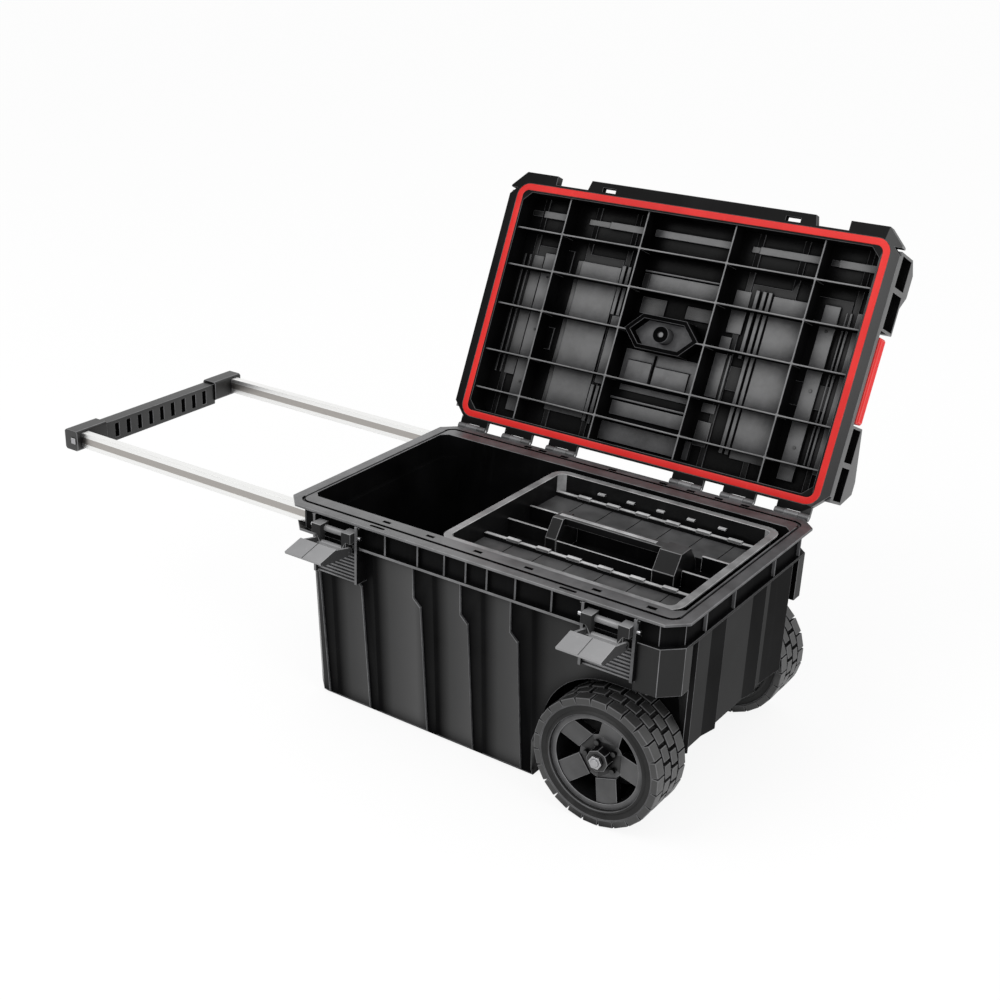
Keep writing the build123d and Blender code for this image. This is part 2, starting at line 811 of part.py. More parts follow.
# Wheels: a tyre with two rows of blocks on a rim with five spokes
wheel_plane = Plane(origin=(wheel_place, 0, axle_z), x_dir=(0, 1, 0), z_dir=(1, 0, 0))
for side, end in ((-1, "front"), (1, "back")):
    outer = side * wheel_face
    inner = side * wheel_back
    middle = side * wheel_middle
    with BuildPart() as tyre:
        with BuildSketch(wheel_plane):
            Polygon(
                (inner, bead_radius),
                (inner, wheel_radius - tyre_shoulder),
                (inner + side * tyre_shoulder, wheel_radius),
                (outer - side * tyre_shoulder, wheel_radius),
                (outer, wheel_radius - tyre_shoulder),
                (outer, (wheel_radius + bead_radius) / 2),
                (outer - side * sidewall_dip, bead_radius),
                align=None,
            )
        revolve(axis=wheel_axis)
        with BuildSketch(front_plane(middle - side * tread_groove_width / 2)):
            with Locations((wheel_place, axle_z)):
                Circle(wheel_radius + overrun)
                Circle(wheel_radius - tread_depth, mode=Mode.SUBTRACT)
        extrude(amount=-side * tread_groove_width, mode=Mode.SUBTRACT)
        for row, turn_share in ((inner, 0), (middle, 1 / 2)):
            step = 360 / tread_count
            with BuildSketch(front_plane(row)):
                with Locations((wheel_place, axle_z)):
                    with PolarLocations(wheel_radius, tread_count, start_angle=turn_share * step):
                        Rectangle(2 * tread_depth, tread_gap_width)
            extrude(amount=-side * wheel_width / 2, mode=Mode.SUBTRACT)

    tyre.part.label = "tyre_" + end
    export_step(tyre.part, "parts/tyre_" + end + ".step")

    ring_inner = bead_radius - rim_ring_wall
    with BuildPart() as wheel_rim:
        with BuildSketch(front_plane(side * (wheel_back + rim_ring_inset))):
            with Locations((wheel_place, axle_z)):
                Circle(bead_radius)
                Circle(ring_inner, mode=Mode.SUBTRACT)
        extrude(amount=-side * (wheel_width - 2 * rim_ring_inset))
        with BuildSketch(front_plane(side * (wheel_back + rim_ring_inset))):
            with Locations((wheel_place, axle_z)):
                Circle(ring_inner + spoke_bite)
        extrude(amount=-side * rim_web)
        for count in range(spoke_count):
            turn = radians(spoke_turn + count * 360 / spoke_count)
            spoke_plane = Plane(
                origin=(wheel_place, 0, axle_z),
                x_dir=(sin(turn), 0, -cos(turn)),
                z_dir=(cos(turn), 0, sin(turn)),
            )
            inner_face = side * (wheel_face - spoke_inner_inset)
            outer_face = side * (wheel_face - spoke_outer_inset)
            with BuildSketch(spoke_plane):
                Polygon(
                    (hub_radius - spoke_bite, inner_face),
                    (ring_inner + spoke_bite, outer_face),
                    (ring_inner + spoke_bite, outer_face - side * spoke_thickness),
                    (hub_radius - spoke_bite, inner_face - side * spoke_thickness),
                    align=None,
                )
            extrude(amount=spoke_width / 2, both=True)
        with BuildSketch(front_plane(side * (wheel_face - hub_inset - spoke_thickness))):
            with Locations((wheel_place, axle_z)):
                Circle(hub_radius)
        extrude(amount=-side * spoke_thickness)
        with BuildSketch(front_plane(inner)):
            with Locations((wheel_place, axle_z)):
                Circle(hub_back_radius)
        extrude(amount=-side * (wheel_width - hub_inset - spoke_thickness / 2))
        with BuildSketch(front_plane(side * (wheel_face - hub_inset - spoke_thickness / 2))):
            with Locations((wheel_place, axle_z)):
                RegularPolygon(hub_boss_radius, boss_sides, major_radius=False)
        extrude(amount=-side * (hub_inset + spoke_thickness / 2 - hub_boss_inset))
        with BuildSketch(front_plane(side * (wheel_face - hub_inset - spoke_thickness / 2))):
            with Locations((wheel_place, axle_z)):
                with PolarLocations(lug_circle, spoke_count, start_angle=90 + spoke_turn):
                    Circle(lug_radius)
        extrude(amount=-side * (spoke_thickness / 2 + lug_height))
        with BuildSketch(front_plane(inner - side * overrun)):
            with Locations((wheel_place, axle_z)):
                Circle(axle_radius + running_fit)
        extrude(amount=-side * (wheel_width + 2 * overrun), mode=Mode.SUBTRACT)

    wheel_rim.part.label = "wheel_rim_" + end
    export_step(wheel_rim.part, "parts/wheel_rim_" + end + ".step")

# Latches: a claw that turns on a pin in the bracket, and a lever on the claw
for place, end in zip(latch_places, ("left", "right")):
    with BuildPart() as claw_pin:
        rod_across(
            (place - claw_pin_half, place + claw_pin_half),
            claw_pin_y,
            claw_pin_z,
            claw_pin_radius,
        )

    claw_pin.part.label = "claw_pin_" + end
    export_step(claw_pin.part, "parts/claw_pin_" + end + ".step")

    with BuildPart() as claw:
        for side in sides:
            slab(
                (place + side * hook_inner, place + side * hook_outer),
                (-hook_front, -hook_back),
                (hook_bottom, hook_top),
            )
            with BuildSketch(end_plane(place + side * hook_inner)):
                Polygon(
                    (-hook_front, hook_bottom),
                    (-hook_front, lever_pin_z),
                    (lever_pin_y, lever_pin_z - claw_arm_half_depth),
                    (lever_pin_y + claw_arm_half_depth, lever_pin_z),
                    (lever_pin_y + claw_arm_half_depth, hook_bottom),
                    align=None,
                )
            extrude(amount=side * claw_arm_width)
        tube_span = (place - hook_inner - overrun, place + hook_inner + overrun)
        rod_across(tube_span, claw_pin_y, claw_pin_z, claw_pin_radius + claw_tube)
        rod_across(tube_span, lever_pin_y, lever_pin_z, lever_pin_radius + claw_tube)
        bore_span = (place - bracket_half, place + bracket_half)
        rod_across(
            bore_span, claw_pin_y, claw_pin_z, claw_pin_radius + running_fit, mode=Mode.SUBTRACT
        )
        rod_across(bore_span, lever_pin_y, lever_pin_z, lever_pin_radius, mode=Mode.SUBTRACT)

    claw.part.label = "latch_claw_" + end
    export_step(claw.part, "parts/latch_claw_" + end + ".step")

    with BuildPart() as lever_pin:
        rod_across(
            (place - lever_pin_half, place + lever_pin_half),
            lever_pin_y,
            lever_pin_z,
            lever_pin_radius,
        )

    lever_pin.part.label = "lever_pin_" + end
    export_step(lever_pin.part, "parts/lever_pin_" + end + ".step")

    with BuildPart() as lever:
        plate_plane = Plane(
            origin=(place, lever_back_y, lever_back_z),
            x_dir=(1, 0, 0),
            z_dir=(0, lever_front_z - lever_back_z, lever_back_y - lever_front_y),
        )
        plate_length = hypot(lever_front_y - lever_back_y, lever_front_z - lever_back_z)
        with BuildSketch(plate_plane):
            with Locations((0, -plate_length / 2)):
                Rectangle(2 * lever_half, plate_length)
        extrude(amount=-lever_plate)
        with BuildSketch(plate_plane):
            with Locations((0, -plate_length / 2)):
                Rectangle(lever_groove_width, plate_length)
        extrude(amount=-lever_groove_depth, mode=Mode.SUBTRACT)
        for side in sides:
            with BuildSketch(end_plane(place + side * lever_web_inner)):
                with Locations((lever_pin_y, lever_pin_z)):
                    Circle(lever_web_eye)
                Polygon(
                    (lever_pin_y, lever_pin_z + lever_web_eye),
                    (lever_back_y, lever_back_z - lever_plate / 2),
                    (lever_front_y + lever_plate, lever_front_z - lever_plate / 2),
                    (lever_front_y + 2 * lever_plate, lever_front_z - 2 * lever_plate),
                    (lever_pin_y, lever_pin_z - lever_web_eye),
                    align=None,
                )
            extrude(amount=side * lever_web)
        rod_across(
            bore_span, lever_pin_y, lever_pin_z, lever_pin_radius + running_fit, mode=Mode.SUBTRACT
        )

    lever.part.label = "latch_lever_" + end
    export_step(lever.part, "parts/latch_lever_" + end + ".step")

# Lid, drawn closed: a shell with ribs inside, a seat for the gasket round its edge,
# corner caps and a carry strip at the front, and rails for stacking on its roof
with BuildPart() as lid_shell:
    with BuildSketch(Plane.XY.offset(lid_bottom)):
        cut_rectangle(lid_length, lid_width, lid_corner)
    extrude(amount=lid_flange)
    with BuildSketch(Plane.XY.offset(lid_bottom)):
        cut_rectangle(lid_body_length, lid_body_width, lid_corner)
    extrude(amount=lid_height)

    # Frame and panel on the roof
    with BuildSketch(Plane.XY.offset(lid_top)):
        cut_rectangle(lid_body_length, lid_body_width, lid_corner)
        cut_rectangle(
            lid_body_length - 2 * rail_width,
            lid_body_width - 2 * roof_frame_width,
            lid_corner,
            mode=Mode.SUBTRACT,
        )
        cut_rectangle(roof_panel_length, roof_panel_width, lid_corner)
    extrude(amount=roof_frame_height)

    # Corner caps and the carry strip with its two windows
    for side in sides:
        cap_end = lid_length / 2
        cap_front = -lid_width / 2 - cap_depth
        with BuildSketch(Plane.XY.offset(lid_bottom)):
            Polygon(
                (side * cap_start, -lid_body_width / 2),
                (side * cap_start, cap_front),
                (side * (cap_end - lid_corner), cap_front),
                (side * cap_end, cap_front + lid_corner),
                (side * cap_end, -lid_body_width / 2),
                align=None,
            )
        extrude(amount=cap_height)
    with BuildSketch(Plane.XY.offset(lid_bottom)):
        Polygon(
            (strip_left, -lid_body_width / 2),
            (strip_left + strip_depth / 2, -lid_width / 2 - strip_depth),
            (strip_right - strip_depth / 2, -lid_width / 2 - strip_depth),
            (strip_right, -lid_body_width / 2),
            align=None,
        )
    extrude(amount=strip_height)
    for place in strip_window_places:
        slab(
            (place - strip_window_length / 2, place + strip_window_length / 2),
            (-lid_width / 2 - strip_window_width, -lid_width / 2),
            (lid_bottom - overrun, lid_bottom + cap_height),
            mode=Mode.SUBTRACT,
        )

    # Rails for stacking, with pockets in their outer faces
    rail_outer = lid_length / 2
    rail_inner = rail_outer - rail_width
    for side in sides:
        with BuildSketch(end_plane(side * rail_inner)):
            Polygon(
                (front_rail_start, lid_bottom + lid_flange / 2),
                (front_rail_start, front_rail_top - rail_width / 2),
                (front_rail_start + rail_width / 2, front_rail_top),
                (front_rail_knee, front_rail_top),
                (front_rail_knee + rail_width / 2, front_rail_step),
                (front_rail_end, front_rail_step),
                (front_rail_end, lid_bottom + lid_flange / 2),
                align=None,
            )
            Polygon(
                (back_rail_start, lid_bottom + lid_flange / 2),
                (back_rail_start, back_rail_step),
                (back_rail_end - rail_width, back_rail_top),
                (back_rail_end - rail_width / 2, back_rail_top),
                (back_rail_end, back_rail_step),
                (back_rail_end, lid_bottom + lid_flange / 2),
                align=None,
            )
        extrude(amount=side * rail_width)
        pocket_bottom = lid_bottom + lid_flange + rail_wall
        pocket_inner = lid_body_length / 2
        for start, end, top in (
            (front_rail_start, front_rail_knee, front_rail_step),
            (front_rail_knee, front_rail_end, front_rail_step),
            (back_rail_start, (back_rail_start + back_rail_end) / 2, back_rail_step),
            ((back_rail_start + back_rail_end) / 2, back_rail_end, back_rail_step),
        ):
            slab(
                (side * pocket_inner, side * (rail_outer + overrun)),
                (start + rail_wall, end - rail_wall),
                (pocket_bottom, top - rail_wall),
                mode=Mode.SUBTRACT,
            )

    # The inside, up to the skin
    with BuildSketch(Plane.XY.offset(lid_bottom)):
        cut_rectangle(lid_inner_length, lid_inner_width, lid_inner_corner)
    extrude(amount=lid_height - lid_skin, mode=Mode.SUBTRACT)

    # Pads and long steps under the skin
    with BuildSketch(Plane.XY.offset(lid_top - lid_skin - pad_height)):
        for x_share in lid_pad_x_shares:
            for y_share in lid_pad_y_shares:
                with Locations((x_share * lid_length, y_share * lid_width)):
                    Rectangle(lid_pad_length, lid_pad_width)
        for x_share in channel_pad_shares:
            with Locations((x_share * lid_length, 0)):
                Rectangle(channel_pad_width, lid_inner_width)
    extrude(amount=pad_height + lid_skin / 2)

    # Ribs that cross the inside, open at the middle for a six-sided frame
    hexagon = (
        (hex_half_length, 0),
        (hex_half_length - hex_shoulder, hex_half_width),
        (hex_shoulder - hex_half_length, hex_half_width),
        (-hex_half_length, 0),
        (hex_shoulder - hex_half_length, -hex_half_width),
        (hex_half_length - hex_shoulder, -hex_half_width),
    )
    with BuildSketch(Plane.XY.offset(lid_bottom + lid_rib_inset)) as rib_lines:
        for share in lid_rib_x_shares:
            with Locations((share * lid_length, 0)):
                Rectangle(lid_rib, lid_inner_width + overrun)
        for share in lid_rib_y_shares:
            with Locations((0, share * lid_width)):
                Rectangle(lid_inner_length + overrun, lid_rib)
        for x_share in lid_rib_x_shares:
            for y_share in lid_rib_y_shares:
                with Locations((x_share * lid_length, y_share * lid_width)):
                    Circle(rib_pip_radius)
        Polygon(*hexagon, align=None, mode=Mode.SUBTRACT)
    extrude(amount=lid_height - lid_rib_inset - lid_skin / 2)
    with BuildSketch(Plane.XY.offset(lid_bottom + lid_rib_inset)) as hex_ring:
        Polygon(*hexagon, align=None)
        offset(amount=-hex_frame, kind=Kind.INTERSECTION, mode=Mode.SUBTRACT)
        Circle(hex_boss_radius)
        Circle(hex_boss_bore, mode=Mode.SUBTRACT)
    extrude(amount=lid_height - lid_rib_inset - lid_skin / 2)

    # Seat for the gasket
    with BuildSketch(Plane.XY.offset(lid_bottom)):
        RectangleRounded(
            rim_length - 2 * seal_inset + gasket_width,
            rim_width - 2 * seal_inset + gasket_width,
            seal_corner + gasket_width / 2,
        )
        RectangleRounded(
            rim_length - 2 * seal_inset - gasket_width,
            rim_width - 2 * seal_inset - gasket_width,
            seal_corner - gasket_width / 2,
            mode=Mode.SUBTRACT,
        )
    extrude(amount=gasket_height, mode=Mode.SUBTRACT)

    # Knuckles on both sides of each knuckle of the tub, joined by a web
    for place in knuckle_places:
        slab(
            (place - knuckle_length / 2, place + knuckle_length / 2),
            (lid_width / 2 - overrun, hinge_y - knuckle_radius - knuckle_gap),
            (lid_bottom, lid_bottom + knuckle_arm),
        )
        for side in sides:
            knuckle_span = (
                place + side * (tub_knuckle_length / 2 + knuckle_gap),
                place + side * knuckle_length / 2,
            )
            slab(
                knuckle_span,
                (lid_width / 2 - overrun, hinge_y),
                (lid_bottom, lid_bottom + knuckle_arm),
            )
            rod_across(knuckle_span, hinge_y, hinge_z, knuckle_radius)
            rod_across(
                knuckle_span, hinge_y, hinge_z, hinge_pin_radius + running_fit, mode=Mode.SUBTRACT
            )

lid_shell.part = lid_shell.part.rotate(hinge_axis, -lid_angle)
lid_shell.part.label = "lid_shell"
export_step(lid_shell.part, "parts/lid_shell.step")

# Gasket in its seat round the lid
with BuildPart() as lid_gasket:
    with BuildSketch(Plane.XY.offset(lid_bottom - gasket_proud)):
        RectangleRounded(
            rim_length - 2 * seal_inset + gasket_width,
            rim_width - 2 * seal_inset + gasket_width,
            seal_corner + gasket_width / 2,
        )
        RectangleRounded(
            rim_length - 2 * seal_inset - gasket_width,
            rim_width - 2 * seal_inset - gasket_width,
            seal_corner - gasket_width / 2,
            mode=Mode.SUBTRACT,
        )
    extrude(amount=gasket_height + gasket_proud)

lid_gasket.part = lid_gasket.part.rotate(hinge_axis, -lid_angle)
lid_gasket.part.label = "lid_gasket"
export_step(lid_gasket.part, "parts/lid_gasket.step")

# Coloured strips in the gaps between the rails
for side, end in ((-1, "left"), (1, "right")):
    with BuildPart() as red_strip:
        slab(
            (side * lid_body_length / 2, side * (lid_body_length / 2 + red_strip_thickness)),
            (red_strip_start, red_strip_end),
            (red_strip_bottom, red_strip_top),
        )
        chamfer(
            red_strip.faces().sort_by(Axis.X)[-1 if side > 0 else 0].edges(),
            length=red_strip_edge,
        )

    red_strip.part = red_strip.part.rotate(hinge_axis, -lid_angle)
    red_strip.part.label = "side_strip_" + end
    export_step(red_strip.part, "parts/side_strip_" + end + ".step")

# Pull handle: a grip on two hollow rods, with a stop on the inner end of each rod
rod_inner_end = channel_left + seat_gap + stop_length
rod_outer_end = grip_face - rod_seat
stop_width = channel_outer - channel_inner - 2 * slide_gap
stop_middle = (channel_outer + channel_inner) / 2
for side, end in ((-1, "front"), (1, "back")):
    with BuildPart() as rod:
        with BuildSketch(end_plane(rod_outer_end)):
            with Locations((side * rod_y, rod_z)):
                Rectangle(rod_width, rod_height)
                Rectangle(
                    rod_width - 2 * rod_wall, rod_height - 2 * rod_wall, mode=Mode.SUBTRACT
                )
            with Locations(
                (side * rod_y - rod_width / 2, rod_z), (side * rod_y + rod_width / 2, rod_z)
            ):
                Rectangle(2 * rod_groove_depth, rod_groove_height, mode=Mode.SUBTRACT)
        extrude(amount=rod_inner_end - rod_outer_end)

    rod.part.label = "handle_rod_" + end
    export_step(rod.part, "parts/handle_rod_" + end + ".step")

    with BuildPart() as rod_stop:
        with BuildSketch(end_plane(channel_left + seat_gap)):
            with Locations((side * stop_middle, rod_z)):
                Rectangle(stop_width, rod_height + 2 * stop_flange)
            with Locations((side * rod_y, rod_z)):
                Rectangle(rod_width, rod_height, mode=Mode.SUBTRACT)
        extrude(amount=stop_length)

    rod_stop.part.label = "rod_stop_" + end
    export_step(rod_stop.part, "parts/rod_stop_" + end + ".step")

with BuildPart() as handle_grip:
    for side in sides:
        slab(
            (grip_face - grip_depth, grip_face),
            (side * (grip_half_width - grip_end_length), side * grip_half_width),
            (rod_z - grip_end_height / 2, rod_z + grip_end_height / 2),
        )
    chamfer(handle_grip.edges().filter_by(Axis.Y), length=grip_chamfer)
    bar_back = grip_face - grip_depth / 2 - grip_bar_depth / 2
    bar_face = bar_back + grip_bar_depth
    slab(
        (bar_back, bar_face),
        (grip_end_length - grip_half_width - overrun, grip_half_width - grip_end_length + overrun),
        (rod_z - grip_bar_down, rod_z + grip_bar_up),
    )
    with Locations((bar_face, 0, rod_z + grip_bar_up / 2 - grip_slot_height / 2)):
        with GridLocations(0, grip_slot_pitch, 1, grip_slot_count):
            Box(2 * grip_slot_depth, grip_slot_width, grip_slot_height, mode=Mode.SUBTRACT)
    for side in sides:
        slab(
            (grip_face - rod_seat, grip_face + overrun),
            (side * rod_y - rod_width / 2, side * rod_y + rod_width / 2),
            (rod_z - rod_height / 2, rod_z + rod_height / 2),
            mode=Mode.SUBTRACT,
        )

handle_grip.part.label = "handle_grip"
export_step(handle_grip.part, "parts/handle_grip.step")

# Rivets that hold the rods in the grip
with BuildPart() as grip_rivets:
    for side in sides:
        slab(
            (grip_face - rod_seat / 2 - rivet_size / 2, grip_face - rod_seat / 2 + rivet_size / 2),
            (side * grip_half_width, side * (grip_half_width + rivet_height)),
            (rod_z - rivet_size / 2, rod_z + rivet_size / 2),
        )

grip_rivets.part.label = "grip_rivets"
export_step(grip_rivets.part, "parts/grip_rivets.step")

# Tray: a rim round a deep trough, with a shelf along the front and the back
with BuildPart() as tray_shell:
    tray_body_length = tray_length - 2 * tray_rim
    tray_body_width = tray_width - 2 * tray_rim
    inner_left = tray_left + tray_rim + tray_wall
    inner_right = tray_right - tray_rim - tray_wall
    with BuildSketch(Plane.XY.offset(tray_bottom)):
        with Locations((tray_middle, 0)):
            RectangleRounded(tray_body_length, tray_body_width, tray_corner - tray_rim)
    extrude(amount=tray_drop)
    with BuildSketch(Plane.XY.offset(tray_top - tray_rim_thickness)):
        with Locations((tray_middle, 0)):
            RectangleRounded(tray_length, tray_width, tray_corner)
    extrude(amount=tray_rim_thickness)
    with BuildSketch(Plane.XY.offset(tray_floor)):
        with Locations((tray_middle, 0)):
            RectangleRounded(
                tray_inner_length, 2 * tray_inner_half, tray_corner - tray_rim - tray_wall
            )
    extrude(amount=tray_drop, mode=Mode.SUBTRACT)

    # Shelves, hollow underneath
    for start, end in (
        (-tray_inner_half - tray_wall, front_shelf_edge),
        (back_shelf_edge, tray_inner_half + tray_wall),
    ):
        slab(
            (inner_left - tray_wall, inner_right + tray_wall),
            (start, end),
            (tray_bottom, shelf_top),
        )
        slab(
            (inner_left, inner_right),
            (start + tray_wall, end - tray_wall),
            (tray_bottom - overrun, shelf_top - tray_wall),
            mode=Mode.SUBTRACT,
        )
        with Locations((tray_middle, (start + end) / 2, shelf_top)):
            with GridLocations(merlon_pitch, 0, merlon_count, 1):
                Box(
                    shelf_groove,
                    end - start - 2 * ridge_width,
                    2 * shelf_groove_depth,
                    mode=Mode.SUBTRACT,
                )

    # Low ridges with raised teeth
    for ridge_y in (front_shelf_edge - ridge_width / 2, back_ridge_y):
        slab(
            (inner_left, inner_right),
            (ridge_y - ridge_width / 2, ridge_y + ridge_width / 2),
            (shelf_top - tray_wall / 2, ridge_top),
        )
        with Locations((tray_middle, ridge_y, ridge_top)):
            with GridLocations(merlon_pitch, 0, merlon_count, 1):
                Box(merlon_length, ridge_width, 2 * merlon_height)

    # Short walls from the ends of the tray to the posts, and the finger pocket
    for stub_y in stub_places:
        for stub_span in (
            (inner_left - tray_wall / 2, post_left),
            (post_right, inner_right + tray_wall / 2),
        ):
            slab(
                stub_span,
                (stub_y - ridge_width / 2, stub_y + ridge_width / 2),
                (tray_bottom, stub_top),
            )
    pocket_span = (post_left + left_post_width, post_right - right_post_width)
    slab(pocket_span, (pocket_front, pocket_front + tray_wall), (tray_bottom, pocket_top))
    slab(pocket_span, (pocket_back - tray_wall, pocket_back), (tray_bottom, pocket_top))

    # Tabs on the back wall
    with Locations((tray_middle, tray_inner_half, tray_top - tab_drop)):
        with GridLocations(tab_pitch, 0, tab_count, 1):
            Box(
                tab_width,
                tab_depth + overrun / 2,
                tab_height,
                align=(Align.CENTER, Align.MAX, Align.CENTER),
            )

tray_shell.part.label = "tray_shell"
export_step(tray_shell.part, "parts/tray_shell.step")

# Handle of the tray
with BuildPart() as tray_handle:
    for start, width in (
        (post_left, left_post_width),
        (post_right - right_post_width, right_post_width),
    ):
        with BuildSketch(end_plane(start)):
            Polygon(
                (post_front, tray_floor),
                (post_front, post_foot_top),
                (bar_y - post_top_half, tray_top),
                (bar_y + post_top_half, tray_top),
                (post_back, post_foot_top),
                (post_back, tray_floor),
                align=None,
            )
        extrude(amount=width)
    slab(
        (post_left + overrun, post_right - overrun),
        (bar_y - bar_width / 2, bar_y + bar_width / 2),
        (tray_top - bar_height, tray_top),
    )

tray_handle.part.label = "tray_handle"
export_step(tray_handle.part, "parts/tray_handle.step")
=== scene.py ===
import bpy
import bmesh
from math import cos, sin, pi, radians
from mathutils import Matrix, Vector


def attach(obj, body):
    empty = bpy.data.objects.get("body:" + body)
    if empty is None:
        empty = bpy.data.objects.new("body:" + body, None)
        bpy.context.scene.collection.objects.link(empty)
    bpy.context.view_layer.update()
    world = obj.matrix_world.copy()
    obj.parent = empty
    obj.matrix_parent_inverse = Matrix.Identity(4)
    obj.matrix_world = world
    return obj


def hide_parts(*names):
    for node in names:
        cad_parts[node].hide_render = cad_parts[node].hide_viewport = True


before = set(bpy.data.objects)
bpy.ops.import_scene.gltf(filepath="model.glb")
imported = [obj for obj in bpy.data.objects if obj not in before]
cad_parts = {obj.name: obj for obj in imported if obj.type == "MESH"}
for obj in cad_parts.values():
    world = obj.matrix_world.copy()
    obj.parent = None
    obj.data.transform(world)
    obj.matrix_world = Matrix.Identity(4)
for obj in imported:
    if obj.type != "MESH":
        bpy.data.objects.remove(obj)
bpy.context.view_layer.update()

print("frame loaded:", len(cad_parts), "nodes")


# Building shader nodes

# Adds a shader node with its settings and with the values of its inputs.
def addNode(tree, kind, values=(), **settings):
    node = tree.nodes.new(kind)
    for key, value in settings.items():
        setattr(node, key, value)
    for socket, value in dict(values).items():
        node.inputs[socket].default_value = value
    return node


# Feeds an input from another node's output, or gives it a plain value.
def feed(tree, socket, source):
    if isinstance(source, bpy.types.NodeSocket):
        tree.links.new(source, socket)
    else:
        socket.default_value = source


# A Math node on numbers that are outputs or plain values.
def calculate(tree, operation, *numbers, clamped=False):
    node = addNode(tree, "ShaderNodeMath", operation=operation, use_clamp=clamped)
    for socket, number in zip(node.inputs, numbers):
        feed(tree, socket, number)
    return node.outputs[0]


# A mix of two colours: its factor is input 0 and its colours are inputs 6 and 7.
def mixColors(tree, factor, first, second):
    node = addNode(tree, "ShaderNodeMix", data_type="RGBA")
    feed(tree, node.inputs[0], factor)
    feed(tree, node.inputs[6], first)
    feed(tree, node.inputs[7], second)
    return node.outputs[2]


# Stretches a number from one range to another.
def mapRange(tree, number, fromMin, fromMax, toMin, toMax):
    node = addNode(tree, "ShaderNodeMapRange")
    feed(tree, node.inputs["Value"], number)
    feed(tree, node.inputs["From Min"], fromMin)
    feed(tree, node.inputs["From Max"], fromMax)
    feed(tree, node.inputs["To Min"], toMin)
    feed(tree, node.inputs["To Max"], toMax)
    return node.outputs["Result"]


def addNoise(tree, place, scale, detail, roughness, distortion=0.0):
    values = {"Detail": detail, "Roughness": roughness, "Distortion": distortion}
    node = addNode(tree, "ShaderNodeTexNoise", values)
    feed(tree, node.inputs["Vector"], place)
    feed(tree, node.inputs["Scale"], scale)
    return node.outputs["Fac"]


# How strongly a piece's own attribute marks a place.
def readShare(tree, name):
    return addNode(tree, "ShaderNodeAttribute", attribute_name=name).outputs["Fac"]


def objectPlace(tree):
    return addNode(tree, "ShaderNodeTexCoord").outputs["Object"]


# Starts a node group with its inputs (name, kind, value) and its outputs (name, kind).
def newGroup(name, inputs, outputs):
    group = bpy.data.node_groups.new(name, "ShaderNodeTree")
    for label, kind, value in inputs:
        socket = group.interface.new_socket(name=label, in_out="INPUT", socket_type=kind)
        socket.default_value = value
    for label, kind in outputs:
        group.interface.new_socket(name=label, in_out="OUTPUT", socket_type=kind)
    start = group.nodes.new("NodeGroupInput")
    end = group.nodes.new("NodeGroupOutput")
    return group, start.outputs, end.inputs


# Shared shader groups

# Paints light into a colour where a piece's own attribute marks a rounded edge or a lit top: a
# painted highlight, and on the rods, whose edge colour is darker, painted shade.
def makePaintedEdgeLight():
    group, given, result = newGroup(
        "paintedEdgeLight",
        (
            ("Color", "NodeSocketColor", (0.02, 0.02, 0.02, 1)),
            ("Painted Edge Color", "NodeSocketColor", (0.2, 0.2, 0.2, 1)),
            ("Amount", "NodeSocketFloat", 0.6),
            ("Patch Size", "NodeSocketFloat", 30.0),
        ),
        (("Color", "NodeSocketColor"),),
    )
    noise = addNoise(group, objectPlace(group), given["Patch Size"], 3.0, 0.6)
    patch = mapRange(group, noise, 0.35, 0.65, 0.55, 1.0)
    patchyEdgeLight = calculate(group, "MULTIPLY", readShare(group, "paintedEdgeLightShare"), patch)
    mask = calculate(group, "MULTIPLY", patchyEdgeLight, given["Amount"])
    feed(group, result["Color"], mixColors(group, mask, given["Color"], given["Painted Edge Color"]))
    return group


# A mask for the sheen of a surface, which paints shade: 1 where it lies open, 0 deep in a
# corner or a cavity, and less where a piece's own recess and dark attributes paint shade.
def makeSheenPaintedShade():
    group, given, result = newGroup(
        "sheenPaintedShade",
        (
            ("Reach", "NodeSocketFloat", 0.03),
            ("Closed", "NodeSocketFloat", 0.45),
            ("Open", "NodeSocketFloat", 0.9),
            ("Floor", "NodeSocketFloat", 0.04),
            ("Strength", "NodeSocketFloat", 1.0),
        ),
        (("Mask", "NodeSocketFloat"),),
    )
    around = addNode(group, "ShaderNodeAmbientOcclusion", samples=8, only_local=False)
    feed(group, around.inputs["Distance"], given["Reach"])
    unshaded = mapRange(
        group, around.outputs["AO"], given["Closed"], given["Open"], given["Floor"], 1.0,
    )
    mask = calculate(group, "MULTIPLY", unshaded, given["Strength"])
    for name in ("paintedRecessShadeShare", "paintedShadeShare"):
        rest = calculate(group, "SUBTRACT", 1.0, readShare(group, name), clamped=True)
        mask = calculate(group, "MULTIPLY", mask, rest)
    feed(group, result["Mask"], mask)
    return group


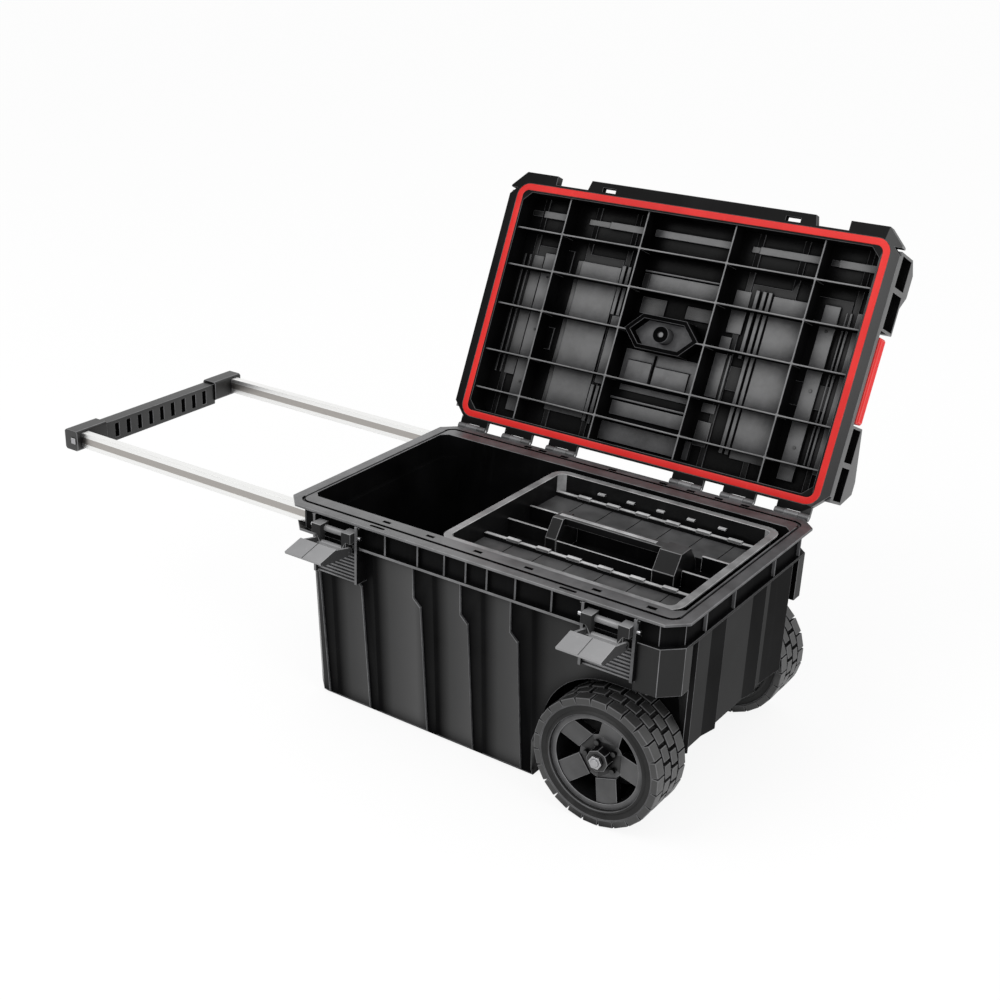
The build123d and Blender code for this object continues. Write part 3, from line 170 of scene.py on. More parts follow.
# The fine pebbled grain of a mould, with soft cloudy changes of tone and faint scuffs.
def makeMouldedGrain():
    group, given, result = newGroup(
        "mouldedGrain",
        (
            ("Grain Size", "NodeSocketFloat", 900.0),
            ("Cloud Size", "NodeSocketFloat", 9.0),
            ("Scuff Size", "NodeSocketFloat", 60.0),
            ("Dark", "NodeSocketColor", (0.01, 0.01, 0.01, 1)),
            ("Light", "NodeSocketColor", (0.03, 0.03, 0.03, 1)),
            ("Smooth", "NodeSocketFloat", 0.35),
            ("Dull", "NodeSocketFloat", 0.55),
        ),
        (
            ("Color", "NodeSocketColor"),
            ("Roughness", "NodeSocketFloat"),
            ("Height", "NodeSocketFloat"),
        ),
    )
    place = objectPlace(group)
    stretch = addNode(
        group, "ShaderNodeMapping",
        {"Scale": (1.0, 1.0, 0.12), "Rotation": (0.0, radians(8), 0.0)},
    )
    feed(group, stretch.inputs["Vector"], place)
    grain = addNoise(group, place, given["Grain Size"], 2.0, 0.5)
    cloud = addNoise(group, place, given["Cloud Size"], 4.0, 0.55, 0.4)
    scuff = addNoise(group, stretch.outputs["Vector"], given["Scuff Size"], 5.0, 0.7)
    cloudMask = mapRange(group, cloud, 0.35, 0.65, 0.0, 1.0)
    scuffMask = mapRange(group, scuff, 0.58, 0.72, 0.0, 0.6)
    tone = calculate(group, "ADD", cloudMask, scuffMask, clamped=True)
    roughness = mapRange(group, tone, 0.0, 1.0, given["Smooth"], given["Dull"])
    feed(group, result["Color"], mixColors(group, tone, given["Dark"], given["Light"]))
    feed(group, result["Roughness"], roughness)
    feed(group, result["Height"], grain)
    return group


# A painted shade and highlight on the sheen of the panels between the tub's flutes, standing in
# for a slight bulge: dark beside the flute on their left, and lighter towards the next one.
# Lengths in metres.
panelShadeRamp = {
    "fluteEdges": (-0.2437, -0.1651, -0.0591, 0.0222, 0.1047),
    "lean": 0.016,
    "span": 0.62,
    "darkTo": 0.007,
    "halfTo": 0.028,
    "lightTo": 0.074,
    "dark": 0.03,
    "half": 0.62,
    "lights": (0.9, 1.0, 1.0, 0.95, 0.55),
}


# A mask of painted shade and highlight that is low beside each flute and rises to the right
# of it, where a piece's own panel attribute asks for it.
def makePanelPaintedShade():
    group, given, result = newGroup(
        "panelPaintedShade",
        (("Lean", "NodeSocketFloat", panelShadeRamp["lean"]),),
        (("Mask", "NodeSocketFloat"),),
    )
    span = panelShadeRamp["span"]
    axes = addNode(group, "ShaderNodeSeparateXYZ")
    feed(group, axes.inputs[0], objectPlace(group))
    leaned = calculate(
        group, "MULTIPLY_ADD", axes.outputs["Z"], given["Lean"], axes.outputs["X"],
    )
    ramp = addNode(group, "ShaderNodeValToRGB")
    feed(group, ramp.inputs["Fac"], mapRange(group, leaned, -span / 2, span / 2, 0.0, 1.0))
    stops = ramp.color_ramp.elements
    stops[0].color = (1, 1, 1, 1)
    for edge, light in zip(panelShadeRamp["fluteEdges"], panelShadeRamp["lights"]):
        for offset, tone in (
            (0.0, panelShadeRamp["dark"]),
            (panelShadeRamp["darkTo"], panelShadeRamp["dark"]),
            (panelShadeRamp["halfTo"], panelShadeRamp["half"] * light),
            (panelShadeRamp["lightTo"], light),
        ):
            stops.new((edge + offset) / span + 0.5).color = (tone, tone, tone, 1)
    stops[-1].color = stops[-2].color
    # A mix of two numbers has them in inputs 2 and 3
    mix = addNode(group, "ShaderNodeMix", {2: 1.0}, data_type="FLOAT")
    feed(group, mix.inputs[0], readShare(group, "panelShadeShare"))
    feed(group, mix.inputs[3], ramp.outputs["Color"])
    feed(group, result["Mask"], mix.outputs[0])
    return group


paintedEdgeLightGroup = makePaintedEdgeLight()
mouldedGrainGroup = makeMouldedGrain()
sheenPaintedShadeGroup = makeSheenPaintedShade()
panelPaintedShadeGroup = makePanelPaintedShade()


# Materials

def startMaterial(name):
    material = bpy.data.materials.new(name)
    material.use_nodes = True
    return material, material.node_tree, material.node_tree.nodes["Principled BSDF"]


# Moulded plastic or rubber: grain, cloudy tone and scuffs, edges with a painted highlight, a
# colour darkened by painted shade where a piece says so, and a sheen that painted shade takes away
# in corners and cavities.
def makePlastic(name, finish):
    material, tree, shader = startMaterial(name)
    base = addNode(
        tree, "ShaderNodeGroup",
        {
            "Grain Size": finish["grainSize"],
            "Cloud Size": finish["cloudSize"],
            "Scuff Size": finish["scuffSize"],
            "Dark": (*finish["dark"], 1),
            "Light": (*finish["light"], 1),
            "Smooth": finish["smooth"],
            "Dull": finish["dull"],
        },
        node_tree=mouldedGrainGroup,
    )
    tint = addNode(
        tree, "ShaderNodeGroup",
        {"Painted Edge Color": (*finish["edge"], 1), "Amount": finish["paintedEdgeAmount"]},
        node_tree=paintedEdgeLightGroup,
    )
    feed(tree, tint.inputs["Color"], base.outputs["Color"])
    # Painted shade: the colour darkens towards the shadow colour where a piece's dark attribute
    # says so
    shadeAmount = calculate(tree, "MULTIPLY", readShare(tree, "paintedShadeShare"), finish["darkening"])
    color = mixColors(tree, shadeAmount, tint.outputs["Color"], (*finish["shadow"], 1))
    feed(tree, shader.inputs["Base Color"], color)
    feed(tree, shader.inputs["Roughness"], base.outputs["Roughness"])
    bump = addNode(
        tree, "ShaderNodeBump",
        {"Strength": finish["grainStrength"], "Distance": finish["grainDepth"]},
    )
    feed(tree, bump.inputs["Height"], base.outputs["Height"])
    feed(tree, shader.inputs["Normal"], bump.outputs["Normal"])
    sheen = addNode(
        tree, "ShaderNodeGroup",
        {
            "Reach": finish["reach"],
            "Closed": finish["closed"],
            "Open": finish["open"],
            "Strength": finish["sheen"],
        },
        node_tree=sheenPaintedShadeGroup,
    )
    mask = sheen.outputs["Mask"]
    if finish["panels"]:
        panelShade = addNode(tree, "ShaderNodeGroup", node_tree=panelPaintedShadeGroup)
        mask = calculate(tree, "MULTIPLY", mask, panelShade.outputs["Mask"])
    feed(tree, shader.inputs["Coat Weight"], mask)
    shader.inputs["Coat Roughness"].default_value = finish["sheenRoughness"]
    shader.inputs["Coat IOR"].default_value = finish["sheenIndex"]
    shader.inputs["Specular IOR Level"].default_value = finish["specular"]
    return material


# The black plastic of the tub. The other finishes say only where they differ from it.
tubFinish = {
    "dark": (0.0022, 0.0022, 0.0023),
    "light": (0.0062, 0.0062, 0.0065),
    # The edge colour is a painted highlight on rounded edges and lit tops, and the shadow colour
    # is painted shade
    "edge": (0.30, 0.30, 0.31),
    "paintedEdgeAmount": 0.65,
    "shadow": (0.0022, 0.0022, 0.0023),
    "darkening": 0.0,
    "grainSize": 900.0,
    "cloudSize": 7.0,
    "scuffSize": 50.0,
    "smooth": 0.40,
    "dull": 0.60,
    "grainStrength": 0.25,
    "grainDepth": 0.0003,
    "specular": 0.0,
    # How far the painted shade in corners and cavities reaches, where it is full and where it ends
    "reach": 0.035,
    "closed": 0.50,
    "open": 0.92,
    "sheen": 1.0,
    "sheenRoughness": 0.33,
    "sheenIndex": 1.6,
    "panels": False,
}
finishes = {
    "tub_plastic": {**tubFinish, "sheenIndex": 1.72, "panels": True},
    "lid_plastic": {**tubFinish, "sheenRoughness": 0.28, "paintedEdgeAmount": 0.45},
    "tray_plastic": {
        **tubFinish,
        "light": (0.010, 0.010, 0.0104),
        "edge": (0.80, 0.80, 0.81),
        "paintedEdgeAmount": 0.8,
    },
    "latch_plastic": {
        **tubFinish,
        "dark": (0.20, 0.20, 0.205),
        "light": (0.27, 0.27, 0.275),
        "edge": (0.55, 0.55, 0.56),
        # Claws and levers darken almost to the shadow colour where painted shade marks them
        "darkening": 0.97,
    },
    "grip_plastic": {**tubFinish, "sheenRoughness": 0.4},
    "tyre_rubber": {
        **tubFinish,
        "dark": (0.008, 0.008, 0.008),
        "light": (0.028, 0.028, 0.028),
        "smooth": 0.5,
        "dull": 0.75,
        "paintedEdgeAmount": 0.35,
        "sheenRoughness": 0.45,
    },
    "rim_plastic": {**tubFinish, "edge": (0.35, 0.35, 0.36), "paintedEdgeAmount": 0.7},
    "gasket_rubber": {
        **tubFinish,
        "dark": (0.60, 0.010, 0.009),
        "light": (0.74, 0.022, 0.018),
        "edge": (0.90, 0.20, 0.16),
        "paintedEdgeAmount": 0.2,
        "sheen": 0.25,
        "sheenRoughness": 0.3,
    },
    "strip_plastic": {
        **tubFinish,
        "dark": (0.68, 0.010, 0.012),
        "light": (0.80, 0.020, 0.020),
        "edge": (0.9, 0.2, 0.18),
        "sheen": 0.3,
    },
}
materials = {name: makePlastic(name, finish) for name, finish in finishes.items()}


# Drawn metal: fine lines along its length, with a little change of tone, a darker tone in its
# grooves, and painted light on its rounded edges.
def makeMetal(name, finish):
    material, tree, shader = startMaterial(name)
    stretch = addNode(tree, "ShaderNodeMapping", {"Scale": finish["lineScale"]})
    feed(tree, stretch.inputs["Vector"], objectPlace(tree))
    lines = addNoise(tree, stretch.outputs["Vector"], 1.0, 4.0, 0.6)
    tone = mixColors(tree, lines, (*finish["dark"], 1), (*finish["light"], 1))
    grooved = mixColors(tree, readShare(tree, "grooveShare"), tone, (*finish["groove"], 1))
    tint = addNode(
        tree, "ShaderNodeGroup",
        {"Painted Edge Color": (*finish["edge"], 1), "Amount": finish["paintedEdgeAmount"]},
        node_tree=paintedEdgeLightGroup,
    )
    feed(tree, tint.inputs["Color"], grooved)
    feed(tree, shader.inputs["Base Color"], tint.outputs["Color"])
    roughness = mapRange(tree, lines, 0.0, 1.0, finish["smooth"], finish["dull"])
    feed(tree, shader.inputs["Roughness"], roughness)
    bump = addNode(
        tree, "ShaderNodeBump",
        {"Strength": finish["lineStrength"], "Distance": finish["lineDepth"]},
    )
    feed(tree, bump.inputs["Height"], lines)
    feed(tree, shader.inputs["Normal"], bump.outputs["Normal"])
    shader.inputs["Metallic"].default_value = 1.0
    return material


rodFinish = {
    "lineScale": (6.0, 900.0, 900.0),
    "lineStrength": 0.15,
    "lineDepth": 0.0002,
    "dark": (0.80, 0.80, 0.79),
    "light": (0.93, 0.93, 0.92),
    # On the rods the edge colour is darker than the metal: painted shade on their rounded edges
    "edge": (0.45, 0.44, 0.43),
    "paintedEdgeAmount": 0.5,
    "groove": (0.40, 0.38, 0.36),
    "smooth": 0.28,
    "dull": 0.42,
}
metalFinishes = {
    "rod_aluminium": rodFinish,
    "pin_steel": {
        **rodFinish,
        "lineScale": (300.0, 300.0, 300.0),
        "dark": (0.30, 0.30, 0.31),
        "light": (0.46, 0.46, 0.47),
        # On the pins the edge colour is lighter: a painted highlight on their rounded edges
        "edge": (0.8, 0.8, 0.8),
        "smooth": 0.25,
        "dull": 0.4,
    },
}
materials.update({name: makeMetal(name, finish) for name, finish in metalFinishes.items()})
print("materials made:", len(materials))


# Working on meshes

# How wide a long narrow face is.
def thinness(face):
    longest = max(edge.calc_length() for edge in face.edges)
    if len(face.edges) == 3:
        return 2 * face.calc_area() / longest
    return face.calc_area() / longest


def between(value, span):
    return span[0] < value < span[1]


# The shares of a mesh's faces, which the materials read as an attribute.
def faceShares(bm, name):
    layers = bm.faces.layers.float
    return layers.get(name) or layers.new(name)


# Which faces and edges get a painted highlight, and how edges are rounded. Lengths in metres
# and turns in degrees.
edgeRoundingAndLight = {
    "ribWidth": 0.0046,
    "ribLength": 0.008,
    "ribHighlight": 0.62,
    "sharpTurn": 32,
    "leastWidth": 0.0013,
    "segments": 2,
}


# Paints a highlight on narrow faces, such as the tops of ribs and ridges.
def markThinFaces(bm):
    light = faceShares(bm, "paintedEdgeLightShare")
    for face in bm.faces:
        longest = max(edge.calc_length() for edge in face.edges)
        if longest > edgeRoundingAndLight["ribLength"] and thinness(face) < edgeRoundingAndLight["ribWidth"]:
            face[light] = edgeRoundingAndLight["ribHighlight"]


# Rounds the outer sharp edges of a mesh, and marks the strips that this makes for painted light.
def bevelEdges(bm, width, sharpTurn=edgeRoundingAndLight["sharpTurn"]):
    light = faceShares(bm, "paintedEdgeLightShare")
    edges = [
        edge for edge in bm.edges
        if len(edge.link_faces) == 2 and edge.is_convex
        and edge.calc_face_angle(0.0) > radians(sharpTurn)
        and min(thinness(face) for face in edge.link_faces) > edgeRoundingAndLight["leastWidth"]
    ]
    made = bmesh.ops.bevel(
        bm, geom=edges, offset=width, offset_type="OFFSET", segments=edgeRoundingAndLight["segments"],
        profile=0.5, affect="EDGES", material=-1, loop_slide=True, clamp_overlap=False,
    )
    for face in made["faces"]:
        face[light] = 1.0


# Turns in degrees, and the area of a broad face in square metres
shading = {
    "smoothTurn": 50,
    "creaseTurn": 4,
    "broadArea": 0.0015,
}


# Shades a mesh smooth, but keeps its sharp edges and the creases between broad faces.
def smoothFaces(bm, smoothTurn):
    broad = {face for face in bm.faces if face.calc_area() > shading["broadArea"]}
    for face in bm.faces:
        face.smooth = True
    for edge in bm.edges:
        turn = edge.calc_face_angle(0.0)
        creased = turn > radians(shading["creaseTurn"])
        creased = creased and all(face in broad for face in edge.link_faces)
        edge.smooth = turn < radians(smoothTurn) and not creased


# Makes a piece of a mesh, with its material, and lets it ride on its body.
def finishPiece(bm, name, body, slotName, smoothTurn=shading["smoothTurn"]):
    smoothFaces(bm, smoothTurn)
    mesh = bpy.data.meshes.new(name)
    bm.to_mesh(mesh)
    bm.free()
    piece = bpy.data.objects.new(name, mesh)
    bpy.context.scene.collection.objects.link(piece)
    mesh.materials.append(materials[slotName])
    weighted = piece.modifiers.new("weightedNormals", "WEIGHTED_NORMAL")
    weighted.keep_sharp = True
    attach(piece, body)
    return piece


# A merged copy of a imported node's mesh, with its flat faces joined up.
def copyNode(nodeName):
    bm = bmesh.new()
    bm.from_mesh(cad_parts[nodeName].data)
    bmesh.ops.remove_doubles(bm, verts=bm.verts, dist=1e-6)
    bmesh.ops.dissolve_limit(bm, angle_limit=radians(0.6), verts=bm.verts, edges=bm.edges)
    if nodeName in ("tub_shell", "lid_shell", "tray_shell"):
        markThinFaces(bm)
    bmesh.ops.triangulate(bm, faces=[face for face in bm.faces if len(face.verts) > 4])
    return bm


# Painted light and shade on the imported nodes. Light shares paint a highlight into a face's
# colour, and dark shares paint shade by taking its sheen away. Places are in metres.

# The tub's outer walls lean outwards from the foot to the top of the wall. What lies
# within a share of the flutes' depth counts as panel, and further in as a flute's floor.
tubWall = {
    "height": 0.279,
    "footHalfLength": 0.294,
    "topHalfLength": 0.299,
    "footHalfWidth": 0.1805,
    "topHalfWidth": 0.194,
    "fluteDepth": 0.0035,
    "panelWithin": 0.4,
    "floorBetween": (0.6, 1.4),
}
tubTones = {
    "roomHalfLength": 0.3045,
    "roomHalfWidth": 0.1655,
    "ledgeHeights": (0.1, 0.31),
    "rimFrom": 0.3165,
    "rimHighlight": 0.5,
    "bandHeights": (0.2785, 0.3135),
    "bandShade": 0.95,
    "wellFrom": 0.26,
    "wellAside": 0.158,
    "wellHeights": (0.209, 0.279),
    "wellShade": 0.62,
    "endFrom": 0.311,
    "endSlopeShade": 0.9,
    "endShade": 0.74,
    "fluteAside": 0.178,
    "fluteTop": 0.27,
    "fluteReach": 0.28,
    "fluteStartShade": 1.0,
    "fluteFloorShade": 0.85,
    "holesAside": (0.169, 0.2055),
    "holesReach": 0.31,
    "endHolesAt": (0.3105, 0.3235),
    "endHolesReach": 0.19,
    "holeHeights": (0.3105, 0.3169),
}


# Whether a place is in the room inside the tub or in its end walls, seen from above.
def isInRoom(place):
    within = abs(place.x) < tubTones["roomHalfLength"]
    return within and abs(place.y) < tubTones["roomHalfWidth"]


# A painted highlight on the rim, and painted shade on the band under it, in the room inside,
# beside the wheels and on the right end.
def markTub(bm):
    tones = tubTones
    light = faceShares(bm, "paintedEdgeLightShare")
    dark = faceShares(bm, "paintedShadeShare")
    for face in bm.faces:
        centre = face.calc_center_median()
        normal = face.normal
        inward = centre.x * normal.x < -0.01 or centre.y * normal.y < -0.01
        byWheel = centre.x > tones["wellFrom"] and abs(centre.y) > tones["wellAside"]
        if centre.z > tones["rimFrom"] and normal.z > 0.9:
            face[light] = max(face[light], tones["rimHighlight"])
        elif isInRoom(centre) and (inward or normal.z > 0.5):
            face[dark] = 1.0
        elif between(centre.z, tones["bandHeights"]) and abs(normal.z) < 0.5:
            face[dark] = tones["bandShade"]
        elif byWheel and between(centre.z, tones["wellHeights"]):
            face[dark] = tones["wellShade"]
        elif centre.x > tones["endFrom"] and normal.y < -0.1:
            face[dark] = tones["endSlopeShade"]
        elif centre.x > tones["endFrom"] and normal.x > 0.9:
            face[dark] = tones["endShade"]


# Paints shade on the floors of the flutes, darkest at one side, and marks the panels between them
# for their painted shade.
def markRecesses(bm):
    recessShade = bm.verts.layers.float.new("paintedRecessShadeShare")
    panel = faceShares(bm, "panelShadeShare")
    for face in bm.faces:
        centre = face.calc_center_median()
        share = centre.z / tubWall["height"]
        if not 0 < share < 1:
            continue
        for axis, along, foot, top in (
            (1, 0, "footHalfWidth", "topHalfWidth"),
            (0, 1, "footHalfLength", "topHalfLength"),
        ):
            surface = tubWall[foot] + (tubWall[top] - tubWall[foot]) * share
            deep = (surface - abs(centre[axis])) / tubWall["fluteDepth"]
            flat = abs(face.normal[axis]) > 0.9
            if flat and axis == 1 and abs(deep) < tubWall["panelWithin"]:
                face[panel] = 1.0
            if not (flat and between(deep, tubWall["floorBetween"])):
                continue
            for vert in face.verts:
                started = any(other.normal[along] > 0.5 for other in vert.link_faces)
                vert[recessShade] = tubTones["fluteStartShade" if started else "fluteFloorShade"]


# Takes the painted highlight off the side of each flute that has no light edge, and paints shade
# on the holes and grooves of the rim and on the ledge inside together with the end walls beside
# it.
def quietTubEdges(bm):
    tones = tubTones
    light = faceShares(bm, "paintedEdgeLightShare")
    dark = faceShares(bm, "paintedShadeShare")
    for face in bm.faces:
        centre = face.calc_center_median()
        onWall = abs(centre.y) > tones["fluteAside"] and centre.z < tones["fluteTop"]
        if onWall and abs(centre.x) < tones["fluteReach"] and face.normal.x < -0.25:
            face[light] = 0.0
        alongSide = between(abs(centre.y), tones["holesAside"])
        alongSide = alongSide and abs(centre.x) < tones["holesReach"]
        alongEnd = between(abs(centre.x), tones["endHolesAt"])
        alongEnd = alongEnd and abs(centre.y) < tones["endHolesReach"]
        inRim = between(centre.z, tones["holeHeights"]) and abs(face.normal.z) < 0.95
        hole = inRim and (alongSide or alongEnd)
        if hole or isInRoom(centre) and between(centre.z, tones["ledgeHeights"]):
            face[light] = 0.0
            face[dark] = 1.0


# The lid is drawn closed and then turned open about the hinge, in metres and degrees
lidPlace = {
    "hinge": (0.0, 0.2122, 0.3166),
    "angle": 113.6,
    "skin": 0.3596,
    "ribTop": 0.3236,
    "border": 0.3176,
}
lidTurn = (
    Matrix.Translation(lidPlace["hinge"])
    @ Matrix.Rotation(radians(-lidPlace["angle"]), 4, "X")
    @ Matrix.Translation(-Vector(lidPlace["hinge"]))
)
lidTones = {
    "innerHalfLength": 0.3,
    "innerHalfWidth": 0.1815,
    "innerFrom": 0.318,
    "frameHalfLength": 0.0628,
    "frameHalfWidth": 0.0268,
    "frameSlope": 0.963,
    "frontCellsTo": -0.098,
    "frontTo": -0.19,
    "ribHighlight": 0.85,
    "borderShade": 0.93,
    "rightBorderShade": 0.52,
    "ribSideShade": 0.86,
    "skinShade": 0.85,
    "frontCellShade": 0.97,
    "cellShade": 0.7,
    "frontShade": 0.5,
}


# A painted highlight on the ends of the ribs, and painted shade on the border, the ribs' sides and
# in the cells.
def markLid(bm):
    tones = lidTones
    light = faceShares(bm, "paintedEdgeLightShare")
    dark = faceShares(bm, "paintedShadeShare")
    closing = lidTurn.inverted()
    for face in bm.faces:
        centre = closing @ face.calc_center_median()
        normal = closing.to_3x3() @ face.normal
        inside = abs(centre.x) < tones["innerHalfLength"] and centre.z > tones["innerFrom"]
        inside = inside and abs(centre.y) < tones["innerHalfWidth"]
        reach = abs(centre.x) + abs(centre.y) * tones["frameSlope"]
        inFrame = reach < tones["frameHalfLength"] and abs(centre.y) < tones["frameHalfWidth"]
        if abs(centre.z - lidPlace["ribTop"]) < 0.0004 and normal.z < -0.9:
            face[light] = 0.0 if inFrame else tones["ribHighlight"]
            face[dark] = 1.0 if inFrame else 0.0
        elif abs(centre.z - lidPlace["border"]) < 0.0006 and normal.z < -0.9:
            atRight = centre.x > tones["innerHalfLength"]
            face[dark] = tones["rightBorderShade" if atRight else "borderShade"]
            face[light] = 0.0
        elif inside and abs(normal.z) < 0.3:
            face[dark] = tones["ribSideShade"]
        elif inside and abs(centre.z - lidPlace["skin"]) < 0.0005:
            face[dark] = tones["skinShade"]
        elif inside and normal.z < -0.9:
            atFront = centre.y < tones["frontCellsTo"]
            face[dark] = tones["frontCellShade" if atFront else "cellShade"]
        elif centre.y < tones["frontTo"]:
            face[dark] = tones["frontShade"]


trayTones = {
    "shelf": 0.278,
    "shelfHighlight": 0.13,
    "rimFrom": 0.3115,
    "rimHighlight": 0.45,
    "ridgeFrom": 0.279,
    "ridgeHighlight": 0.8,
    "grooveHeights": (0.2765, 0.2776),
    "grooveWallHeights": (0.2765, 0.27796),
    "floorShade": 0.9,
    "wallShade": 0.6,
}


# Painted highlight on the shelves, rim and ridges, and painted shade in the grooves, on the deep
# floor and on the walls.
def markTray(bm):
    tones = trayTones
    light = faceShares(bm, "paintedEdgeLightShare")
    dark = faceShares(bm, "paintedShadeShare")
    for face in bm.faces:
        height = face.calc_center_median().z
        upward = face.normal.z > 0.9
        if upward and abs(height - tones["shelf"]) < 0.0004:
            face[light] = max(face[light], tones["shelfHighlight"])
        elif upward and height > tones["rimFrom"]:
            face[light] = max(face[light], tones["rimHighlight"])
        elif upward and height > tones["ridgeFrom"]:
            face[light] = max(face[light], tones["ridgeHighlight"])
        elif upward and between(height, tones["grooveHeights"]):
            face[dark] = 1.0
            face[light] = 0.0
        elif height < tones["grooveHeights"][0] and thinness(face) > 0.003:
            face[dark] = tones["floorShade"]
        elif abs(face.normal.z) < 0.3:
            face[dark] = tones["wallShade"]


# Takes the painted highlight off the grooves between the tray's tiles, and paints shade in them.
def quietTrayGrooves(bm):
    light = faceShares(bm, "paintedEdgeLightShare")
    dark = faceShares(bm, "paintedShadeShare")
    for face in bm.faces:
        if between(face.calc_center_median().z, trayTones["grooveWallHeights"]):
            face[light] = 0.0
            face[dark] = 1.0


trayHandleTones = {
    "edgeHighlight": 0.3,
    "topHighlight": 0.12,
    "frontShade": 0.86,
    "leftShade": 0.6,
}


# Painted shade in front, less at the left and the back, and a painted highlight on top.
def markTrayHandle(bm):
    tones = trayHandleTones
    light = faceShares(bm, "paintedEdgeLightShare")
    dark = faceShares(bm, "paintedShadeShare")
    for face in bm.faces:
        if face[light] > 0.9:
            face[light] = tones["edgeHighlight"]
        elif face.normal.z > 0.6 and face.normal.y > -0.3:
            face[light] = tones["topHighlight"]
        elif face.normal.y < -0.3:
            face[dark] = tones["frontShade"]
        elif face.normal.x < 0.5:
            face[dark] = tones["leftShade"]


latchTones = {
    "barWidth": 0.003,
    "barShade": 0.15,
    "clawEdgeShade": 0.6,
    "clawShade": 0.93,
    "leverShade": 0.85,
}


# A latch's claw keeps its light colour on top and on its round bar, and is painted in shade
# elsewhere.
def markClaw(bm):
    light = faceShares(bm, "paintedEdgeLightShare")
    dark = faceShares(bm, "paintedShadeShare")
    for face in bm.faces:
        if face.normal.z > 0.5:
            continue
        onBar = abs(face.normal.x) < 0.1 and thinness(face) < latchTones["barWidth"]
        if face[light] > 0.9:
            face[dark] = latchTones["clawEdgeShade"]
        else:
            face[dark] = latchTones["barShade" if onBar else "clawShade"]


# A latch's lever is painted in shade at its right end and underneath.
def markLever(bm):
    dark = faceShares(bm, "paintedShadeShare")
    for face in bm.faces:
        if face.normal.x > 0.6 or face.normal.z < -0.4:
            face[dark] = latchTones["leverShade"]


# The wheels' axle line, and the painted highlights on a wheel's rim by their distance from it
wheelPlace = {
    "centreX": 0.227,
    "centreZ": 0.0945,
    "spokesFrom": 0.028,
    "spokeHighlight": 0.2,
    "ringFrom": 0.06,
    "ringHighlight": 0.34,
}


# How far a place is from the wheels' axle.
def reachFromAxle(place):
    return Vector((place.x - wheelPlace["centreX"], place.z - wheelPlace["centreZ"])).length


# The ring and the spokes of a wheel's rim get a painted highlight, which its hub doesn't.
def markRim(bm):
    light = faceShares(bm, "paintedEdgeLightShare")
    for face in bm.faces:
        reach = reachFromAxle(face.calc_center_median())
        if abs(face.normal.y) > 0.8 and reach > wheelPlace["spokesFrom"]:
            onRing = reach > wheelPlace["ringFrom"]
            face[light] = max(face[light], wheelPlace["ringHighlight" if onRing else "spokeHighlight"])


rodShape = {
    "centreY": 0.1776,
    "halfWidth": 0.0065,
    "grooveDepths": (0.0004, 0.001),
}


# Marks the shallow grooves along the sides of the handle's rods.
def markRodGrooves(bm):
    groove = faceShares(bm, "grooveShare")
    for face in bm.faces:
        aside = abs(abs(face.calc_center_median().y) - rodShape["centreY"])
        deep = rodShape["halfWidth"] - aside
        if abs(face.normal.y) > 0.9 and between(deep, rodShape["grooveDepths"]):
            face[groove] = 1.0


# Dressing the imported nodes

# What marks a node before its edges are rounded, and what marks it after that
marksBefore = {
    "tub_shell": (markTub, markRecesses),
    "lid_shell": (markLid,),
    "tray_shell": (markTray,),
    "handle_rod_front": (markRodGrooves,),
    "handle_rod_back": (markRodGrooves,),
}
marksAfter = {
    "tub_shell": (quietTubEdges,),
    "tray_shell": (quietTrayGrooves,),
    "tray_handle": (markTrayHandle,),
    "latch_claw_left": (markClaw,),
    "latch_claw_right": (markClaw,),
    "latch_lever_left": (markLever,),
    "latch_lever_right": (markLever,),
    "wheel_rim_front": (markRim,),
    "wheel_rim_back": (markRim,),
}


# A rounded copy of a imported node, which it stands for.
def dressNode(nodeName, name, body, slotName, width):
    bm = copyNode(nodeName)
    for mark in marksBefore.get(nodeName, ()):
        mark(bm)
    bevelEdges(bm, width)
    for mark in marksAfter.get(nodeName, ()):
        mark(bm)
    piece = finishPiece(bm, name, body, slotName)
    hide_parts(nodeName)
    print("dressed", nodeName, "with", len(piece.data.polygons), "faces")


